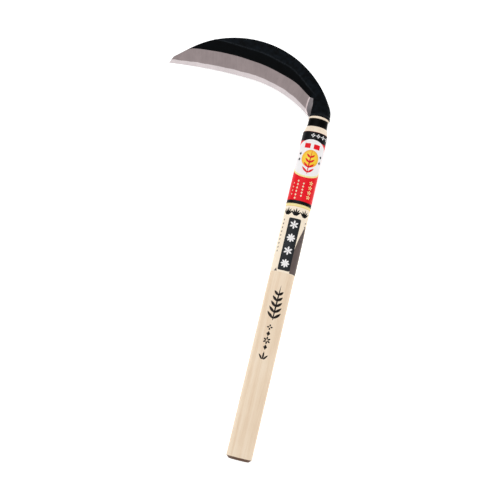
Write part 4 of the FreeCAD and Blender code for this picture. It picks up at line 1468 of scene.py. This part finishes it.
@dataclass
class Prints:
    """All the plain ornament printed on the two sleeves and brushed on the bare wood."""

    made: list[tuple[bpy.types.Object, str]] = field(default_factory=list)
    inks: dict[Tone, bpy.types.Material] = field(default_factory=dict)

    def ink(self, tone: Tone) -> bpy.types.Material:
        """Mix an ink once."""
        if tone not in self.inks:
            name, colour, second = tone.value
            self.inks[tone] = Ink(name, colour, second).make()
        return self.inks[tone]

    def add(self, press: Press, name: str, tone: Tone, layer: int, slot: str,
            shapes: Iterable[Shape]) -> None:
        """Print shapes and keep the film with the slot it belongs to."""
        self.made.append((press.film(name, shapes, self.ink(tone), layer), slot))

    def upper(self, sleeve: Sleeve, sun: Sun) -> None:
        """Print the upper sleeve: a white oval with a sun and a sprig, above rows of small marks."""
        press = Press(sleeve.section)
        half = press.girth / 2 - 0.4
        slot = "red_label"
        self.add(press, "upper_black_bands", Tone.BLACK, 1, slot,
                 [bar(-half, half, 364.5, sleeve.high - 0.1), bar(-half, half, 288.4, 292.5)])
        middle_x, middle_y, wide, tall = -0.3, 344.5, 23.0, 22.0
        self.add(press, "upper_oval", Tone.WHITE, 2, slot, [disc(middle_x, middle_y, wide, tall, 120)])
        arc_line = []
        for sign, grow in ((1, 0.0), (-1, 1.9)):
            side = []
            for k in range(61):
                x = -21.5 + 43 * k / 60
                y = middle_y - (tall + grow) * math.sqrt(max(0.0, 1 - (x / (wide + grow)) ** 2))
                side.append((middle_x + x, y - 0.02))
            arc_line += side[::sign]
        foot_band = bar(-half, half, sleeve.low + 0.1, 288.4)
        self.add(press, "upper_gold", Tone.GOLD, 1, slot, [[arc_line], foot_band])
        self.add(press, "upper_red", Tone.RED, 3, slot,
                 [bar(-9.0, -2.2, 355.6, 361.4, 0.5), bar(1.6, 8.8, 355.6, 361.4, 0.5)])
        self.made.append((press.film("upper_sun", [disc(0.5, 343.5, 10.0, 10.5)], sun.make(), 3), slot))
        self.add(press, "upper_sprig", Tone.RED, 4, slot,
                 sprig(0.5, 325.0, 354.0, 8.0, 4, 2.4))
        self.add(press, "upper_ticks", Tone.BLACK, 3, slot,
                 [lozenge(x, y, 1.7, 2.0) for x in (-12.5, 13.0) for y in (341.5, 348.5)])
        self.add(press, "upper_flecks", Tone.WHITE, 2, slot,
                 [petal for x in (-2.0, 4.0, 10.0, 16.0) for petal in flower(x, 371.6, 2.4, 4, 0.7)])
        columns = ((-11.5, 312.5, 4.4, 4, 0.7, 1.1), (-6.5, 315.4, 4.1, 6, 1.1, 1.5),
                   (0.0, 313.2, 3.7, 5, 1.1, 1.4))
        marks = [lozenge(x, top - step * k, wide_mark, tall_mark)
                 for x, top, step, count, wide_mark, tall_mark in columns for k in range(count)]
        self.add(press, "upper_dots", Tone.CREAM, 1, slot, marks)
        self.add(press, "upper_roses", Tone.GOLD, 1, slot,
                 [petal for k in range(4) for petal in flower(8.5, 315.6 - 5.7 * k, 2.5, 5)])

    def lower(self, sleeve: Sleeve) -> None:
        """Print the lower sleeve: a dark cartouche with white rosettes on cream."""
        press = Press(sleeve.section)
        half = press.girth / 2 - 0.4
        slot = "cream_label"
        self.add(press, "lower_gold", Tone.GOLD, 1, slot, [bar(-half, half, 285.3, sleeve.high - 0.1)])
        self.add(press, "lower_amber", Tone.AMBER, 2, slot, [bar(-half, half, 285.3, 285.75)])
        dark = [bar(-7.0, 7.0, 210.5, 271.5, 1.6)]
        self.add(press, "lower_cartouche", Tone.SLATE, 1, slot, dark)
        black = []
        for x in (-10.5, -1.0, 9.5):
            black += tuft(x, 274.6, 9.0, 34, 5, 1.9)
        black += [lozenge(-13.2, 268.5 - 4.6 * k, 0.8, 1.5) for k in range(9)]
        black += [lozenge(13.6, 269.0 - 4.2 * k, 0.9, 1.4) for k in range(6)]
        self.add(press, "lower_black", Tone.BLACK, 1, slot, black)
        leaf = [(7.0, 208.8), (7.0, 236.0), (8.0, 243.0), (9.6, 251.0), (13.0, 262.0), (15.6, 266.0),
                (17.5, 252.0), (18.3, 232.0), (18.5, 208.8)]
        corner = [(-11.0, 208.8), (-8.6, 212.4), (-7.2, 208.8)]
        self.add(press, "lower_leaf", Tone.GREY, 1, slot, [[leaf], [corner]])
        white = []
        for y, petals in ((264.0, 6), (248.5, 8), (233.5, 6), (218.8, 8)):
            white += flower(0.0, y, 4.9, petals, 0.5)
            white.append(disc(0.0, y, 1.3, 1.3, 24))
        self.add(press, "lower_roses", Tone.WHITE, 2, slot, white)

    def wood(self, handle: Handle) -> None:
        """Brush a sprig, rosettes and diamonds on the bare wood."""
        press = Press(handle.section)
        shapes = [*sprig(1.0, 154.0, 194.0, 9.0, 5, 3.0), *flower(0.0, 145.8, 3.2, 4, 0.7),
                  lozenge(0.0, 138.6, 2.2, 3.0), *flower(0.0, 131.0, 4.2, 6),
                  lozenge(0.0, 123.4, 2.2, 3.0), *tuft(0.0, 110.0, 8.6, 30, 3, 2.0)]
        self.add(press, "wood_brushwork", Tone.BRUSH, 1, "pale_wood", shapes)


# --- studio -----------------------------------------------------------------------------------


@dataclass
class Studio:
    """Pale floor, soft light and the camera."""

    floor_z: float = -11.25
    lens: float = 61.2
    eye: tuple[float, float, float] = (2.93, 41.02, 937.87)
    aim: tuple[float, float, float] = (-41.71, 226.54, 0.0)
    middle: tuple[float, float, float] = (-40.0, 220.0, 0.0)
    half_floor: float = 3000.0
    sky: float = 0.55
    near: float = 0.01
    far: float = 100.0

    def build(self) -> None:
        """Lay the floor, hang the lights and set the camera."""
        skin = Skin()
        half = self.half_floor
        skin.face(skin.row([(-half, -half, 0), (half, -half, 0), (half, half, 0), (-half, half, 0)]))
        floor = skin.build("floor", [FloorPaint().make()], Matrix.Translation((0, 0, self.floor_z)))
        self.light("key", 1400, 10.5, (-500, 650, 1500))
        self.light("fill", 1600, 4.6, (900, -300, 1300))
        scene = bpy.context.scene
        world = bpy.data.worlds.new("studio")
        world.use_nodes = True
        sky = world.node_tree.nodes["Background"]
        sky.inputs["Color"].default_value = (1.0, 1.0, 1.0, 1.0)
        sky.inputs["Strength"].default_value = self.sky
        scene.world = world
        scene.view_settings.view_transform = "Standard"
        data = bpy.data.cameras.new("camera")
        data.sensor_width = 36.0
        data.lens = self.lens
        data.clip_start = self.near
        data.clip_end = self.far
        camera = bpy.data.objects.new("camera", data)
        self.point(camera, self.eye, self.aim)
        scene.camera = camera

    def light(self, name: str, size: float, power: float, spot: Sequence[float]) -> None:
        """Hang one square soft light over the sickle."""
        data = bpy.data.lights.new(name, "AREA")
        data.size = size * MM
        data.energy = power
        self.point(bpy.data.objects.new(name, data), spot, self.middle)

    @staticmethod
    def point(made: bpy.types.Object, spot: Sequence[float], aim: Sequence[float]) -> None:
        """Put a light or camera at a spot, looking at another."""
        made.location = Vector(spot) * MM
        made.rotation_mode = "QUATERNION"
        made.rotation_quaternion = (Vector(aim) - Vector(spot)).to_track_quat("-Z", "Y")
        bpy.context.scene.collection.objects.link(made)


def declare(piece: bpy.types.Object, slot: str, *nodes: str) -> None:
    """Let a piece ride on the sickle, hide the CAD nodes it stands for, and report it with its slot."""
    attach(piece, BODY)
    if nodes:
        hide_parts(*nodes)
    stands_for = nodes or "ornament"
    LOG.info("%s: %d faces, slot %s, for %s", piece.name, len(piece.data.polygons), slot, stands_for)


def main() -> None:
    """Build every piece in order."""
    logging.basicConfig(level=logging.INFO, format="%(name)s: %(message)s")
    blade = Forging()
    handle = Handle()
    scale = ForgeScale().make()
    ground = GroundSteel("ground_iron", linear(128, 117, 117), linear(107, 98, 98), 0.42).make()
    # The heel facet is the same ground iron, in a copy whose lighter and darker tones are painted light and
    # shade.
    facet = GroundSteel("heel_facet", linear(140, 133, 135), linear(92, 88, 91), 0.45).make()
    steel = GroundSteel("hard_steel", linear(166, 158, 159), linear(146, 139, 140), 0.3).make()
    iron_piece, steel_piece = blade.build(scale, ground, facet, steel)
    declare(iron_piece, "forged_iron", "blade_body")
    declare(steel_piece, "edge_steel", "edge_steel")
    wood = PaleWood(handle.butt_chamfer, handle.full_y).make()
    declare(handle.build(wood, blade), "pale_wood", "handle")
    declare(Ring().build(handle, RingPaint().make()), "black_ring", "ferrule_ring")
    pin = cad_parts["mekugi_pin"]
    pin.data.materials.clear()
    pin.data.materials.append(PinSteel().make())
    upper = Sleeve("visual_upper_label", 287.72, 376.18)
    lower = Sleeve("visual_lower_label", 208.2, 287.68)
    red = Ink("red_paper", linear(240, 25, 40), linear(222, 18, 32)).make()
    cream = Ink("cream_paper", linear(252, 238, 217), linear(246, 228, 204), 0.4).make()
    declare(upper.build(red), "red_label", "upper_label")
    declare(lower.build(cream), "cream_label", "lower_label")
    prints = Prints()
    prints.upper(upper, Sun((0.5, 343.5), 10.5))
    prints.lower(lower)
    prints.wood(handle)
    for piece, slot in prints.made:
        declare(piece, slot)
    Studio().build()


if __name__ == "__main__":
    main()
